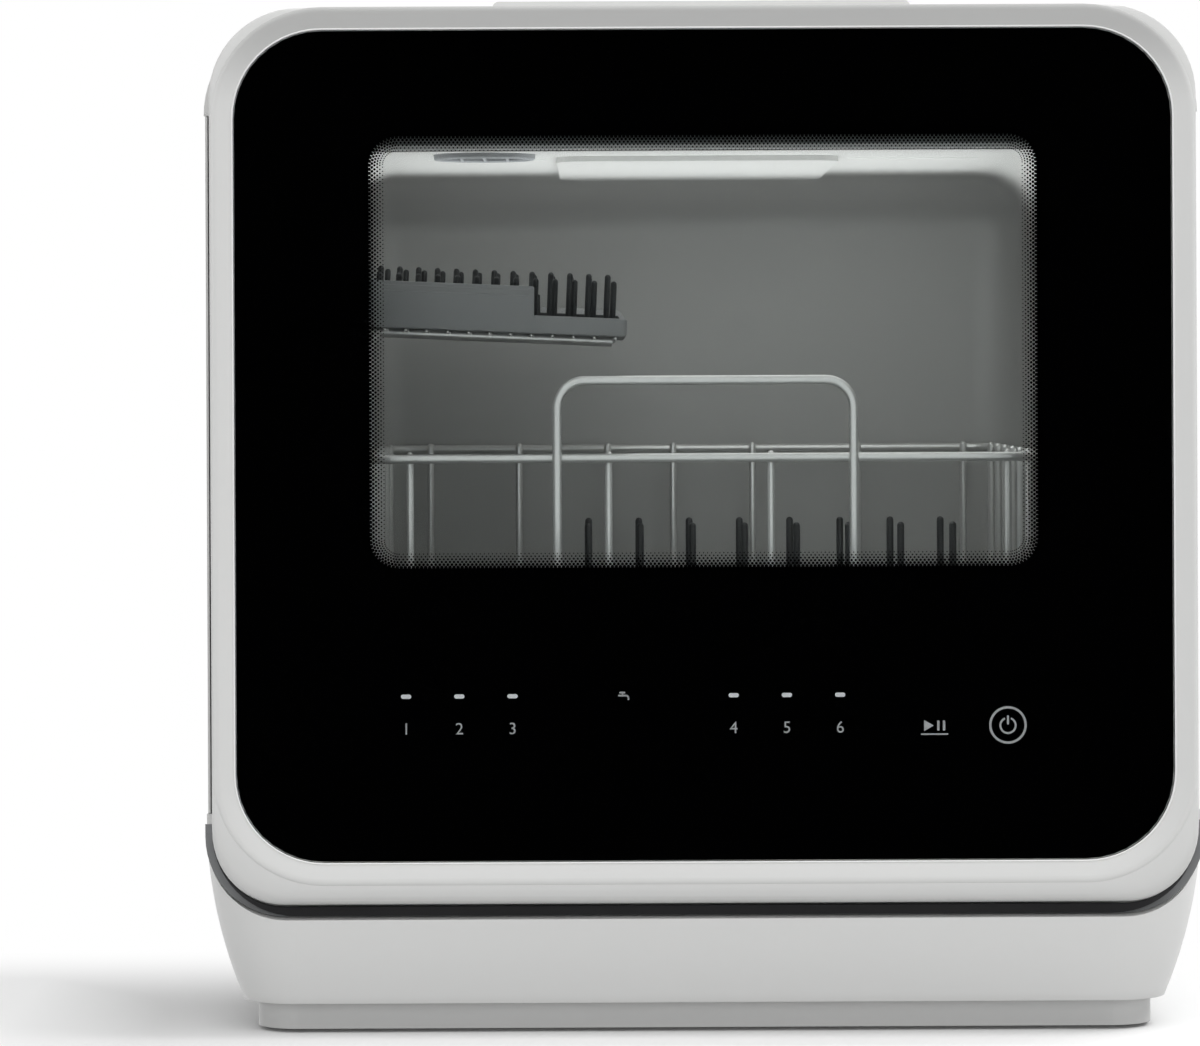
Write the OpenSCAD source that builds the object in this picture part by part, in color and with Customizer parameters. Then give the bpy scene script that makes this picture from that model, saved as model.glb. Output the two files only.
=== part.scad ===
// Countertop dishwasher with a drop-down glass door, a wire rack and a built-in water tank.
// X runs across the front, Y from front to back, Z up. The origin is under the middle of the
// machine, on the surface that it stands on.

/* [Cabinet] */
// Width across the cabinet
body_w = 424; // [410:1:450]
// Depth from the bezel to the rear edge
body_d = 435; // [420:1:470]
// Height of the cabinet and the door
body_h = 432; // [420:1:460]
// Radius of the top corners
corner_r = 43; // [30:1:55]
// Wall of the plastic mouldings
skin = 2.5; // [2:0.1:3]
// Thickness of the steel side panels
panel_t = 1; // [0.8:0.1:1.5]
// Height of the seam between the base and the side panels
seam_z = 91; // [86:1:96]
// How far the top cover reaches down the sides
cover_leg = 43; // [40:1:60]
// Radius of the belly of the base
belly_r = 200; // [180:1:260]
// Radius of the front corners of the base, seen from above
plan_r = 40; // [34:1:50]
// Height of the step between the belly and the plinth
plinth_z = 13; // [10:1:16]
// How far the plinth stands back from the belly
plinth_step = 6; // [4:0.5:9]
// Height of the feet below the plinth
foot_h = 1.7; // [1.2:0.1:3]
// Radius of a foot
foot_r = 13; // [9:0.5:16]

/* [Door] */
// Depth of the door from the bezel to the liner
door_t = 38.5; // [36:0.5:44]
// How far the door's sides stand in from the cabinet's
door_inset = 5.5; // [3:0.5:8]
// Height of the door's lower edge
door_z = 56; // [54:0.5:60]
// Radius of the roll under the door, round the hinge line
roll_r = 9; // [8.5:0.1:10]
// Open groove between the door and the base
groove = 6.4; // [5:0.1:8]
// Radius of the door's lower corners
door_foot_r = 30; // [24:1:40]
// Radius of the front edge's corners
crease_r = 46; // [42:1:55]
// Width of the bezel round the glass
bezel_w = 8; // [6:0.2:10]
// Thickness of the front glass
glass_t = 4; // [3:0.1:5]
// Thickness of the inner window glass
inner_glass_t = 3.4; // [2.5:0.1:4]
// Width of the window
window_w = 280; // [240:1:300]
// Height of the window
window_h = 181; // [150:1:190]
// Height of the window's lower edge
window_z = 197; // [195:1:205]
// Radius of the window's corners
window_r = 12; // [8:1:20]
// Gap between the door and the cabinet, filled by the gasket
door_gap = 2.5; // [2:0.1:4]
// Distance of each hinge from the middle
hinge_x = 150; // [130:1:165]
// Width of the pull lip
grip_w = 176; // [120:1:200]
// Height of the pull lip above the door
grip_h = 3; // [2:0.5:6]

/* [Controls] */
// Height of the row of light bars
lamp_z = 143.2; // [138:0.2:150]
// Spacing of the light bars in a group
lamp_pitch = 22.3; // [18:0.1:26]
// Length of a light bar
lamp_w = 4.3; // [3:0.1:6]
// Height of a light bar
lamp_h = 1.8; // [1.2:0.1:3]

/* [Tub] */
// Space between the tub and the cabinet's side
side_space = 46; // [42:1:56]
// Height of the tub floor
tub_z = 104; // [102:1:106]
// Space between the tub's ceiling and the top cover
roof_space = 58; // [54:1:66]
// Space behind the tub
rear_space = 85.5; // [80:0.5:95]
// Thickness of the tub's steel
tub_t = 1.2; // [0.8:0.1:1.6]
// Radius of the tub's long edges
tub_r = 26; // [18:1:32]
// Radius of the sump opening
sump_r = 70; // [60:1:74]
// Space between the spray arm's tips and the rack's sides
arm_gap = 8; // [4:0.5:28]
// Width of a spray arm blade
arm_w = 34; // [26:1:40]

/* [Rack] */
// Space between the rack's outer wires and the tub's sides
rack_gap = 18; // [16:0.5:24]
// Distance of the rack's front rail behind the tub's mouth
rack_setback = 23.5; // [22:0.5:32]
// Space between the rack's back rail and the tub's rear wall
rack_rear = 20; // [14:0.5:30]
// Height of the rack above its lowest wire
rack_h = 112.7; // [100:0.1:125]
// Radius of the rail wire
rail_wire = 2; // [1.6:0.1:2.4]
// Radius of the thin wires and tines
thin_wire = 1.65; // [1.3:0.05:1.9]
// Width of the raised front hoop
hoop_w = 128; // [100:1:160]
// Height of the hoop above the front rail
hoop_h = 33.6; // [20:0.2:40]
// Spacing of the plate tines
tine_pitch = 23.7; // [20:0.1:28]
// Height of a plate tine
tine_h = 76; // [50:1:80]
// Radius of a rack wheel
wheel_r = 10; // [8:0.5:10.5]
// Width of a rack wheel
wheel_w = 6; // [4:0.5:6]
// Length of the cutlery tray from front to back
tray_d = 210; // [160:1:230]
// Width of the cutlery tray
tray_w = 117; // [100:1:125]

/* [Water] */
// Radius of the filler opening in the top
fill_r = 38; // [30:1:42]
// Width of the water tank
tank_w = 260; // [200:1:280]
// Height of the water tank
tank_h = 256; // [200:1:262]
// Outer radius of the water inlet's thread
inlet_r = 13.2; // [12:0.1:14]
// Outer radius of the drain spigot
drain_r = 10.5; // [9:0.1:12]
// Radius of the circulation pump's motor
motor_r = 27; // [22:1:30]
// Radius of the hoses
hose_r = 8; // [7:0.5:9]

/* [Hidden] */
$fn = 64;

// Clearances
seam = 0.3;      // open seam between cabinet panels
run = 0.05;      // radial play of a shaft or pin in its bore
play = 0.3;      // play between parts that move past each other
over = 1;        // how far a cut runs past the face that it opens

// Cabinet planes
front_y = -body_d / 2;
back_y = body_d / 2;
bezel_proud = 0.5;
door_front = front_y + bezel_proud;
door_back = front_y + door_t;
cab_y = door_back + door_gap;
frame_t = 3;
mouth_y = cab_y + frame_t;
floor_z = foot_h + skin;
belly_in = belly_r - sqrt(pow(belly_r, 2) - pow(seam_z - plinth_z, 2));
plinth_in = belly_in + plinth_step;
leg_z = body_h - cover_leg;
panel_x = body_w / 2 - 0.6;
back_panel_y = back_y - 4.5;

// Door planes, counted from the front
door_w = body_w - 2 * door_inset;
crease_in = 1;
crease_top = 0.5;
hinge_y = door_front + roll_r;
hinge_z = door_z + roll_r;
glass_y = front_y + 1;
mask_t = 0.3;
mask_y = glass_y + glass_t;
wall_front = mask_y + mask_t;
wall_back = wall_front + 2.7;
liner_t = 1.2;
liner_y = door_back - liner_t;
seal_t = 0.8;
sight = 4;
inner_glass_y = liner_y - seal_t - inner_glass_t;
bezel_in = 0.8;
glass_in = bezel_in + bezel_w + 0.2;
bezel_t = 3.2;
tongue_t = 5;
cheek_t = 2;
cheek_gap = 0.2;
pin_r = 3;
eye_r = roll_r - bezel_t - 0.8;
grip_y = door_back - 6;
grip_d = 20;
recess_w = grip_w - 26;
recess_d = 26;
recess_h = 15;
slot_top = hinge_z + 7;

// Tub
tub_hw = body_w / 2 - side_space;
tub_top = body_h - roof_space;
tub_back = back_y - rear_space;
tub_mid = (mouth_y + tub_back) / 2;
tub_foot_r = 8;
tub_under = tub_z - tub_t;
mouth_flange = 8;
emboss_w = 124;
emboss_d = 210;
emboss_r = 14;
emboss_h = 3;
gasket_w = 6;
gasket_t = door_gap - 0.3;
vent_r = 20;
vent_x = -93;
vent_y = mouth_y + 32.5;
float_x = tub_hw - 36;
float_y = mouth_y + 43;
float_r = 5.8;

// Sump, with the filter, the riser and the heater in it
sump_flange = sump_r + 8;
sump_wall = 2.5;
sump_floor = tub_under - 16;
bowl_z = 62;
bowl_r = 48;
suction_z = bowl_z + 12;
plate_recess = 1.2;
riser_r = 9;
riser_foot = bowl_z - 4;
arm_z = tub_z + 5;
arm_h = 12;
cup_r = 15;
cup_x = 20;
cup_y = tub_mid - 22;
cup_floor = bowl_z + 14;
heater_z = tub_under - 9;
heater_ring = sump_r - 10;
heater_r = 3.2;

// Pumps and hoses
pump_z = 66;
volute_x = sump_r + 2;
volute_r = 28;
volute_w = 22;
motor_l = 68;
outlet_x = volute_x + volute_w / 2;
outlet_z = pump_z - 20;
bend = 20;
hose_start = tub_mid - 40;
tight = riser_foot - outlet_z;
drain_y = tub_mid + 20;
drain_z = bowl_z + 10;
drain_x = -volute_x - 8;
drain_w = 16;
barb_r = hose_r - 1 - run;

// Ports in the rear of the base
port_y = back_y - 22;
port_z = bowl_z - 2;
port_in = port_y - skin;
inlet_x = 52 - body_w / 2;
gland_x = body_w / 2 - 47;

// Control board
board_x = [30 - body_w / 2, 114 - body_w / 2];
board_y = [front_y + 89.5, front_y + 195.5];
board_z = floor_z + 10;
board_t = 1.6;

// Touch board in the door
lamp_mids = [-102.9, 34.4];
touch_w = 270;
touch_h = 34;
touch_top = lamp_z + 8.8;

// Rack
rail_top = tub_z + 12;
wheel_z = rail_top + play + wheel_r;
rack_z = tub_z + 25;
rack_top = rack_z + rack_h;
rack_w = 2 * (tub_hw - rack_gap);
rack_front = mouth_y + rack_setback;
rack_back = tub_back - rack_rear;
rack_d = rack_back - rack_front;
rack_mid = (rack_front + rack_back) / 2;
arm_r = min(rack_w, tub_back - mouth_y) / 2 - arm_gap;
nozzles = [for (k = [0:3]) arm_r - 22 - 28 * k];
rack_corner = 14;
axle_end = rack_w / 2 + 4 + wheel_w;
hoop_x = 2;
hoop_r = 12;
hoop_y = rack_front - 2 * rail_wire;
cross_z = rack_z + rail_wire + thin_wire;
cross_pitch = 40;
cross_y = [for (i = [-2.5:1:2.5]) rack_mid + cross_pitch * i];
long_z = cross_z + 2 * thin_wire;
tine_x = -49;
upright_x = [22.3 - rack_w / 2, hoop_x - 41.8, hoop_x + 28.5, rack_w / 2 - 15.1];
middle_x = [hoop_x - 84.8, hoop_x - 10, hoop_x + 79.7];
inner = rail_wire + thin_wire;
post_top = rack_top + rail_wire + 1;

// Cutlery tray
tray_z = rack_top + 57.5;
tray_wall = 2;
tray_low = 8;
tray_tall = 20.5;
tray_rear = 15;
pin_w = 2.7;
pin_pitch = 8.6;
tray_front = rack_front + 8;
tray_left = -rack_w / 2 - 0.5;
tray_right = tray_left + tray_w;
tray_high = tray_w - 41;
tray_tilt = 2.6;

// Tank and filler
tank_top = body_h - 32;
tank_front = tub_back + 14;
tank_mid = (tank_front + back_panel_y) / 2;
tank_x0 = 22 - body_w / 2;
tank_neck = 8;
fill_x = -110;
fill_y = back_y - 52;
fill_axis_y = fill_y + fill_r + 3;
fill_axis_z = body_h + 0.6;
rim_h = 1;
lug_x = 10;

// Drying fan and latch
fan_r = 34;
fan_z = tub_top + tub_t;
fan_y = vent_y + 16;
latch_z = tub_top + 24;
bolt_w = 6;
bolt_y = mouth_y + 11;
striker_h = 6;

// Hinge cheeks
cheek_x = tongue_t / 2 + cheek_gap;

// Detergent dispenser
disp_x = [-20, 132];
disp_z = [tub_z + 8, window_z - 7];
disp_front = door_back + 1.5;
cap_x = disp_x[1] - 22;
cap_z = (disp_z[0] + disp_z[1]) / 2;
cap_r = 11;
lid_w = 44;
lid_x = cap_x - 26 - lid_w;
lid_z = [disp_z[0] + 6, disp_z[1] - 6];

// ---------- shapes shared by the parts ----------

module box(x, y, z) translate([x[0], y[0], z[0]]) cube([x[1] - x[0], y[1] - y[0], z[1] - z[0]]);

// Extrudes an outline drawn in X and Z along Y.
module slab_y(y0, y1) translate([0, y1, 0]) rotate([90, 0, 0]) linear_extrude(y1 - y0) children();

// Extrudes a plan drawn in X and Y upwards.
module plan(z0, z1) translate([0, 0, z0]) linear_extrude(z1 - z0) children();

module rod_x(x0, x1, y, z, r) translate([x0, y, z]) rotate([0, 90, 0]) cylinder(h = x1 - x0, r = r);
module rod_y(y0, y1, x, z, r) translate([x, y0, z]) rotate([-90, 0, 0]) cylinder(h = y1 - y0, r = r);
module rod_z(z0, z1, x, y, r) translate([x, y, z0]) cylinder(h = z1 - z0, r = r);

// A plate outline centred on X between two heights, with its own radius at the bottom and the top.
module plate(w, z0, z1, r0, r1) {
    if (z1 - r1 > z0 + r0) translate([-w / 2, z0 + r0]) square([w, z1 - r1 - z0 - r0]);
    for (end = [[r0, z0, z0 + r0], [r1, z1 - r1, z1 - r1]]) if (end[0] > 0) {
        translate([end[0] - w / 2, end[1]]) square([w - 2 * end[0], end[0]]);
        for (s = [-1, 1]) translate([s * (w / 2 - end[0]), end[2]]) circle(end[0]);
    }
}

module round_rect(w, d, r) translate([0, -d / 2]) plate(w, 0, d, r, r);

// Carries a profile round a rounded rectangle: its x runs outwards from the outline.
module ring_sweep(w, d, r) {
    for (k = [0:3]) {
        half = k % 2 == 0 ? w / 2 : d / 2;
        length = (k % 2 == 0 ? d : w) - 2 * r;
        rotate(90 * k) {
            translate([half, length / 2, 0]) rotate([90, 0, 0]) linear_extrude(length) children();
            translate([half - r, length / 2, 0]) rotate_extrude(angle = 90) translate([r, 0]) children();
        }
    }
}

// The same, with the ring standing upright: the profile's y runs towards the front.
module ring_upright(w, z0, z1, r, y) {
    translate([0, y, (z0 + z1) / 2]) rotate([90, 0, 0]) ring_sweep(w, z1 - z0, r) children();
}

module elbow(r_bend, r_pipe, bore) rotate_extrude(angle = 90) translate([r_bend, 0]) difference() {
    circle(r_pipe);
    circle(bore);
}

// A pan-head screw whose head lies on z = 0 and whose shank points down.
module screw(length) {
    cylinder(h = 1.8, r = 3.2);
    translate([0, 0, -length]) cylinder(h = length, r = 1.5);
}

// ---------- outlines of the cabinet and the door ----------

module cabinet_outline(inset, z0) {
    plate(body_w - 2 * inset, z0, body_h - inset, 0, corner_r - inset);
}

// The door's outline: s is 0 at the front crease and 1 behind the roll.
module door_outline(s, inset = 0) {
    plate(door_w - 2 * crease_in * (1 - s) - 2 * inset, hinge_z - roll_r * s + inset,
        body_h - crease_top * (1 - s) - inset, crease_r + (door_foot_r - crease_r) * s - inset,
        crease_r + (corner_r - crease_r) * s - inset);
}

module window_outline(grow) {
    plate(window_w + 2 * grow, window_z - grow, window_z + window_h + grow, window_r + grow, window_r + grow);
}

module tub_outline(grow) {
    plate(2 * (tub_hw + grow), tub_z - grow, tub_top + grow, tub_foot_r + grow, tub_r + grow);
}

// ---------- cabinet ----------

// Section of the belly, measured outwards from the corner's centre.
module belly_profile(inset, z0, z1) intersection() {
    translate([plan_r - belly_r, seam_z]) circle(belly_r - inset, $fn = 180);
    translate([0, z0]) square([plan_r, z1 - z0]);
}

module belly(inset, z0, z1) {
    side = body_w / 2 - plan_r;
    nose = front_y + plan_r;
    length = back_y - inset - nose;
    for (s = [0, 1]) mirror([s, 0, 0]) {
        translate([side, nose + length, 0]) rotate([90, 0, 0]) linear_extrude(length)
            belly_profile(inset, z0, z1);
        translate([side, nose, 0]) rotate([0, 0, -90]) rotate_extrude(angle = 90)
            belly_profile(inset, z0, z1);
    }
    translate([side, nose, 0]) rotate([90, 0, -90]) linear_extrude(2 * side) belly_profile(inset, z0, z1);
    box([-side, side], [nose, back_y - inset], [z0, z1]);
}

module plinth_outline(inset) {
    w = body_w - 2 * (plinth_in + inset);
    plate(w, front_y + plinth_in + inset, back_y - inset, plan_r - plinth_in - inset, 0);
}

// Room for the door and the groove round it, cut out of the base.
module door_pocket(grow) slab_y(front_y - over, cab_y + grow) {
    g = groove + grow;
    plate(door_w + 2 * g, door_z - g, body_h + g, door_foot_r + g, 0);
}

function foot_places() = let (x = body_w / 2 - 47, y = body_d / 2 - 58)
    [for (sx = [-1, 1], sy = [-1, 1]) [sx * x, sy * y]];
function board_posts() = [for (x = [board_x[0] + 7, board_x[1] - 7], y = [board_y[0] + 8, board_y[1] - 8])
    [x, y]];

// Recess in the rear wall for a connector, as a shell or as the room inside it.
module port_box(x0, x1, inset) {
    box([x0 + inset, x1 - inset], [port_in + inset, back_y + (inset > 0 ? over : 0)],
        [port_z - 27 + inset, port_z + 27 - inset]);
}

module base_housing() color("whitesmoke") difference() {
    union() {
        difference() {
            union() {
                difference() {
                    belly(0, plinth_z, seam_z);
                    difference() {
                        belly(skin, plinth_z + skin, seam_z + over);
                        door_pocket(skin);
                    }
                }
                plan(foot_h, plinth_z + skin) plinth_outline(0);
            }
            plan(floor_z, plinth_z + skin + over) plinth_outline(skin);
            door_pocket(0);
        }
        port_box(inlet_x - 25, drain_x + 22, 0);
        port_box(gland_x - 20, gland_x + 20, 0);
        for (p = board_posts()) rod_z(floor_z, board_z, p[0], p[1], 4);
        box([volute_x + 25, volute_x + 75], [tub_mid - 14, tub_mid + 14], [floor_z, pump_z - motor_r]);
    }
    port_box(inlet_x - 25, drain_x + 22, skin);
    port_box(gland_x - 20, gland_x + 20, skin);
    rod_y(port_in - over, port_y + over, inlet_x, port_z, 9);
    rod_y(port_in - over, port_y + over, drain_x, port_z, 7.5);
    rod_y(port_in - over, port_y + over, gland_x, port_z, 7);
    for (p = foot_places()) rod_z(0, floor_z + over, p[0], p[1], 4.2);
    for (s = [-1, 1]) box([s * hinge_x - tongue_t / 2 - 0.5, s * hinge_x + tongue_t / 2 + 0.5],
        [cab_y - over, cab_y + skin + over], [hinge_z - 1.5, hinge_z + 6.5]);
}

module front_frame() color("white") difference() {
    slab_y(cab_y, mouth_y) difference() {
        cabinet_outline(skin + seam, seam_z + seam);
        tub_outline(0);
        translate([-12, latch_z - 8]) square([24, 16]);
        translate([-recess_w / 2, body_h - recess_h]) square([recess_w, recess_h]);
    }
}

// A folded steel sheet with a strip tucked up behind the cover and a rear flange for the back panel.
module side_panel() difference() {
    face = panel_x - panel_t;
    tuck = [cab_y + 12, back_y - 12];
    union() {
        box([face, panel_x], [cab_y, back_y], [seam_z + seam, leg_z - seam]);
        box([face - 3.5, face], tuck, [leg_z - 12, leg_z - seam]);
        box([face - 3.5, body_w / 2 - skin - 0.6], tuck, [leg_z - seam, leg_z + 5]);
        box([face - 18, face], [back_panel_y - 1.5, back_panel_y], [seam_z + seam, leg_z - seam]);
    }
    for (p = back_screws()) if (p[0] > 0) rod_y(back_panel_y - 2.5, back_panel_y + over, p[0], p[1], 1.6);
}

module side_panel_left() color("white") mirror([1, 0, 0]) side_panel();
module side_panel_right() color("white") side_panel();

module top_cover() color("white") difference() {
    union() {
        difference() {
            slab_y(cab_y, back_y) cabinet_outline(0, seam_z);
            slab_y(cab_y - over, back_y + over) cabinet_outline(skin, seam_z - over);
            box([-body_w, body_w], [front_y, back_y + over], [0, leg_z]);
        }
        box([-recess_w / 2 - skin, recess_w / 2 + skin], [mouth_y + seam, cab_y + recess_d + skin],
            [body_h - recess_h - skin, body_h]);
    }
    box([-recess_w / 2, recess_w / 2], [cab_y - over, cab_y + recess_d], [body_h - recess_h, body_h + over]);
    rod_z(body_h - skin - over, body_h + over, fill_x, fill_y, fill_r + 3.8);
    box([fill_x - 12, fill_x + 12], [fill_y, fill_axis_y + 2.2], [body_h - skin - over, body_h + over]);
}

module back_panel() color("lightgray") slab_y(back_panel_y, back_panel_y + skin) difference() {
    cabinet_outline(skin + seam, seam_z + seam);
    for (i = [0:7]) translate([body_w / 2 - 110, 200 + 14 * i]) round_rect(70, 5, 2.4);
    for (p = back_screws()) translate(p) circle(1.6);
}

module feet() color("dimgray") for (p = foot_places()) {
    rod_z(0, foot_h, p[0], p[1], foot_r);
    rod_z(foot_h, floor_z + 3, p[0], p[1], 4);
}

function back_screws() = [for (x = [-1, 1], z = [seam_z + 12, (seam_z + body_h) / 2, body_h - 50])
    [x * (body_w / 2 - 14), z]];

module cabinet_screws() color("silver") {
    for (p = back_screws()) translate([p[0], back_panel_y + skin, p[1]]) rotate([-90, 0, 0]) screw(8);
    for (s = [-1, 1], z = [-1, 1]) translate([s * (hinge_x - 10), cab_y + skin + 2.5, hinge_z + 10 * z])
        rotate([-90, 0, 0]) screw(skin);
}

// ---------- tub and what hangs on it ----------

module float_tube(r) rod_z(tub_under - 6, tub_z + 10, float_x, float_y, r);

module tub() color("silver") difference() {
    union() {
        slab_y(mouth_y, tub_back + tub_t) tub_outline(tub_t);
        slab_y(mouth_y, mouth_y + tub_t) tub_outline(mouth_flange);
        float_tube(float_r + 1);
    }
    difference() {
        slab_y(mouth_y - over, tub_back) tub_outline(0);
        plan(tub_top - emboss_h, tub_top + over) translate([0, tub_mid])
            round_rect(emboss_w, emboss_d, emboss_r);
        float_tube(float_r + 1);
    }
    plan(tub_top - emboss_h + tub_t, tub_top + tub_t + over) translate([0, tub_mid])
        round_rect(emboss_w - 2 * tub_t, emboss_d - 2 * tub_t, emboss_r - tub_t);
    float_tube(float_r);
    rod_z(tub_z - 2 * tub_t - over, tub_under + over, float_x, float_y, float_r);
    rod_z(tub_under - over, tub_z + over, 0, tub_mid, sump_r);
    rod_z(tub_top - over, tub_top + tub_t + over, vent_x, vent_y, vent_r - 2);
}

module vent_grille() color("gray") difference() {
    rod_z(tub_top - 3, tub_top, vent_x, vent_y, vent_r);
    for (i = [-1.5:1:1.5]) box([vent_x + 7.5 * i - 2.2, vent_x + 7.5 * i + 2.2], [vent_y - 10, vent_y + 10],
        [tub_top - 3 - over, tub_top + over]);
}

module door_gasket() color("darkgray") slab_y(cab_y - gasket_t, cab_y) difference() {
    tub_outline(mouth_flange);
    tub_outline(mouth_flange - gasket_w);
}

module rack_rails() color("gainsboro") for (s = [0, 1]) mirror([s, 0, 0]) {
    box([rack_w / 2 + 4, tub_hw], [mouth_y + 4, tub_back - 8], [rail_top - 3, rail_top]);
    box([tub_hw - 2.5, tub_hw], [mouth_y + 4, tub_back - 8], [rail_top, rail_top + 8]);
}

module sump() color("dimgray") difference() {
    union() {
        rod_z(tub_under - 3, tub_under, 0, tub_mid, sump_flange);
        rod_z(sump_floor, tub_under, 0, tub_mid, sump_r);
        rod_z(bowl_z, tub_under - 3, 0, tub_mid, bowl_r);
        rod_x(bowl_r - 4, volute_x, tub_mid, suction_z, 11);
        rod_x(-volute_x, -bowl_r / 2, drain_y, drain_z, 9);
    }
    rod_z(sump_floor + sump_wall, tub_z, 0, tub_mid, sump_r - sump_wall);
    rod_z(bowl_z + sump_wall, tub_z, 0, tub_mid, bowl_r - sump_wall);
    rod_z(bowl_z - over, bowl_z + sump_wall + over, 0, tub_mid, riser_r);
    rod_x(bowl_r - 6, volute_x + over, tub_mid, suction_z, 8);
    rod_x(-volute_x - over, -bowl_r / 2, drain_y, drain_z, 6.5);
}

module filter_plate() color("silver") difference() {
    rod_z(tub_under, tub_under + plate_recess, 0, tub_mid, sump_r - 0.3);
    rod_z(tub_z - 2 * over, tub_z + over, 0, tub_mid, riser_r + 4);
    rod_z(tub_z - 2 * over, tub_z + over, cup_x, cup_y, cup_r);
    for (ring = [26:9:62], i = [0:23]) rotate_about_mid(15 * i + ring) if (clear_of_cup(15 * i + ring, ring))
        rod_z(tub_z - 2 * over, tub_z + over, ring, tub_mid, 1.5);
}

module rotate_about_mid(angle) translate([0, tub_mid, 0]) rotate(angle) translate([0, -tub_mid, 0]) children();

function clear_of_cup(angle, ring) =
    norm([ring * cos(angle) - cup_x, tub_mid + ring * sin(angle) - cup_y]) > cup_r + 5;

module filter_cup() color("slategray") difference() {
    union() {
        rod_z(cup_floor, tub_under + plate_recess, cup_x, cup_y, cup_r - 0.5);
        rod_z(tub_z, tub_z + 1.5, cup_x, cup_y, cup_r + 2);
    }
    rod_z(cup_floor + 1.5, tub_z + 1.5 + over, cup_x, cup_y, cup_r - 2);
}

module spray_riser() color("gray") difference() {
    union() {
        rod_z(riser_foot, arm_z + arm_h + play, 0, tub_mid, riser_r - run);
        rod_z(bowl_z + sump_wall, arm_z - play, 0, tub_mid, riser_r + 3);
        rod_z(arm_z + arm_h + play, arm_z + arm_h + play + 3.5, 0, tub_mid, riser_r + 3);
    }
    rod_z(riser_foot - over, arm_z + arm_h - 2, 0, tub_mid, riser_r - 2.5);
    for (a = [0:90:270]) rotate_about_mid(a) translate([0, tub_mid, arm_z + arm_h / 2]) rotate([0, 90, 0])
        cylinder(h = riser_r + over, r = 3);
}

module heater() color("silver") {
    translate([0, tub_mid, heater_z]) rotate([0, 0, 200]) rotate_extrude(angle = 320)
        translate([heater_ring, 0]) circle(heater_r);
    for (a = [200, 520]) rotate_about_mid(a)
        rod_z(sump_floor + sump_wall, heater_z, heater_ring, tub_mid, heater_r);
}

// ---------- pumps and hoses ----------

module wash_pump() color("lightslategray") difference() {
    union() {
        rod_x(volute_x, volute_x + volute_w, tub_mid, pump_z, volute_r);
        rod_x(volute_x + volute_w, volute_x + volute_w + motor_l, tub_mid, pump_z, motor_r);
        rod_y(tub_mid - 44, tub_mid, outlet_x, outlet_z, barb_r);
    }
    rod_x(volute_x + 2.5, volute_x + volute_w - 2.5, tub_mid, pump_z, volute_r - 2.5);
    rod_x(volute_x - over, volute_x + 3.5, tub_mid, suction_z, 8);
    rod_x(volute_x + volute_w - 3.5, volute_x + volute_w + 30, tub_mid, pump_z, pin_r + run);
    rod_y(tub_mid - 44 - over, tub_mid, outlet_x, outlet_z, hose_r - 3);
}

module impeller(r, w, shaft, tail, blades) {
    rod_x(0, 2, 0, 0, r);
    rod_x(0, w, 0, 0, shaft + 3);
    rod_x(0, w + tail, 0, 0, shaft);
    for (i = [0:blades - 1]) rotate([360 / blades * i, 0, 0]) box([0, w], [0, r - 0.5], [-0.8, 0.8]);
}

module wash_impeller() color("white") translate([volute_x + 3.5, tub_mid, pump_z])
    impeller(volute_r - 5, volute_w - 7, pin_r, 30, 6);

// The wash hose leaves the pump towards the front, turns back under the sump and rises into the arm.
module wash_hose() color("black") {
    x = outlet_x;
    bore = hose_r - 1;
    translate([x, hose_start, outlet_z]) {
        rotate([90, 0, 0]) difference() {
            cylinder(h = 22, r = hose_r);
            translate([0, 0, -over]) cylinder(h = 22 + 2 * over, r = bore);
        }
        translate([-bend, -22, 0]) rotate(-90) elbow(bend, hose_r, bore);
        translate([-bend, -22 - bend, 0]) rotate([0, -90, 0]) difference() {
            cylinder(h = x - 2 * bend, r = hose_r);
            translate([0, 0, -over]) cylinder(h = x - 2 * bend + 2 * over, r = bore);
        }
        translate([bend - x, -22, 0]) rotate(180) elbow(bend, hose_r, bore);
    }
    rise = tub_mid - tight - (hose_start - 22);
    translate([0, hose_start - 22, outlet_z]) rotate([-90, 0, 0]) difference() {
        cylinder(h = rise, r = hose_r);
        translate([0, 0, -over]) cylinder(h = rise + 2 * over, r = bore);
    }
    translate([0, tub_mid - tight, outlet_z + tight]) rotate([90, 0, 90]) rotate(-90)
        elbow(tight, hose_r, bore);
}

module drain_pump() color("lightslategray") difference() {
    union() {
        rod_x(-volute_x - drain_w, -volute_x, drain_y, drain_z, 20);
        rod_x(-volute_x - 62, -volute_x - drain_w, drain_y, drain_z, 18);
        rod_y(drain_y, drain_y + 34, drain_x, port_z, barb_r);
    }
    rod_x(-volute_x - 14, -volute_x - 2, drain_y, drain_z, 18);
    rod_x(-volute_x - 3, -volute_x + over, drain_y, drain_z, 6.5);
    rod_x(-volute_x - 44, -volute_x - 13, drain_y, drain_z, 2 + run);
    rod_y(drain_y + 2, drain_y + 34 + over, drain_x, port_z, hose_r - 3);
}

module drain_impeller() color("white") translate([-volute_x - 3, drain_y, drain_z])
    mirror([1, 0, 0]) impeller(15, 10, 2, 26, 4);

// The drain hose runs straight back from the pump to the spigot.
module drain_hose() color("black") difference() {
    rod_y(drain_y + 26, port_in - 6, drain_x, port_z, hose_r);
    rod_y(drain_y + 26 - over, port_in - 6 + over, drain_x, port_z, hose_r - 1);
}

module drain_spigot() color("dimgray") difference() {
    union() {
        rod_y(port_in - 14, port_y + 16, drain_x, port_z, barb_r);
        rod_y(port_y, port_y + 16, drain_x, port_z, drain_r);
    }
    rod_y(port_in - 14 - over, port_y + 16 + over, drain_x, port_z, 5);
}

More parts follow.
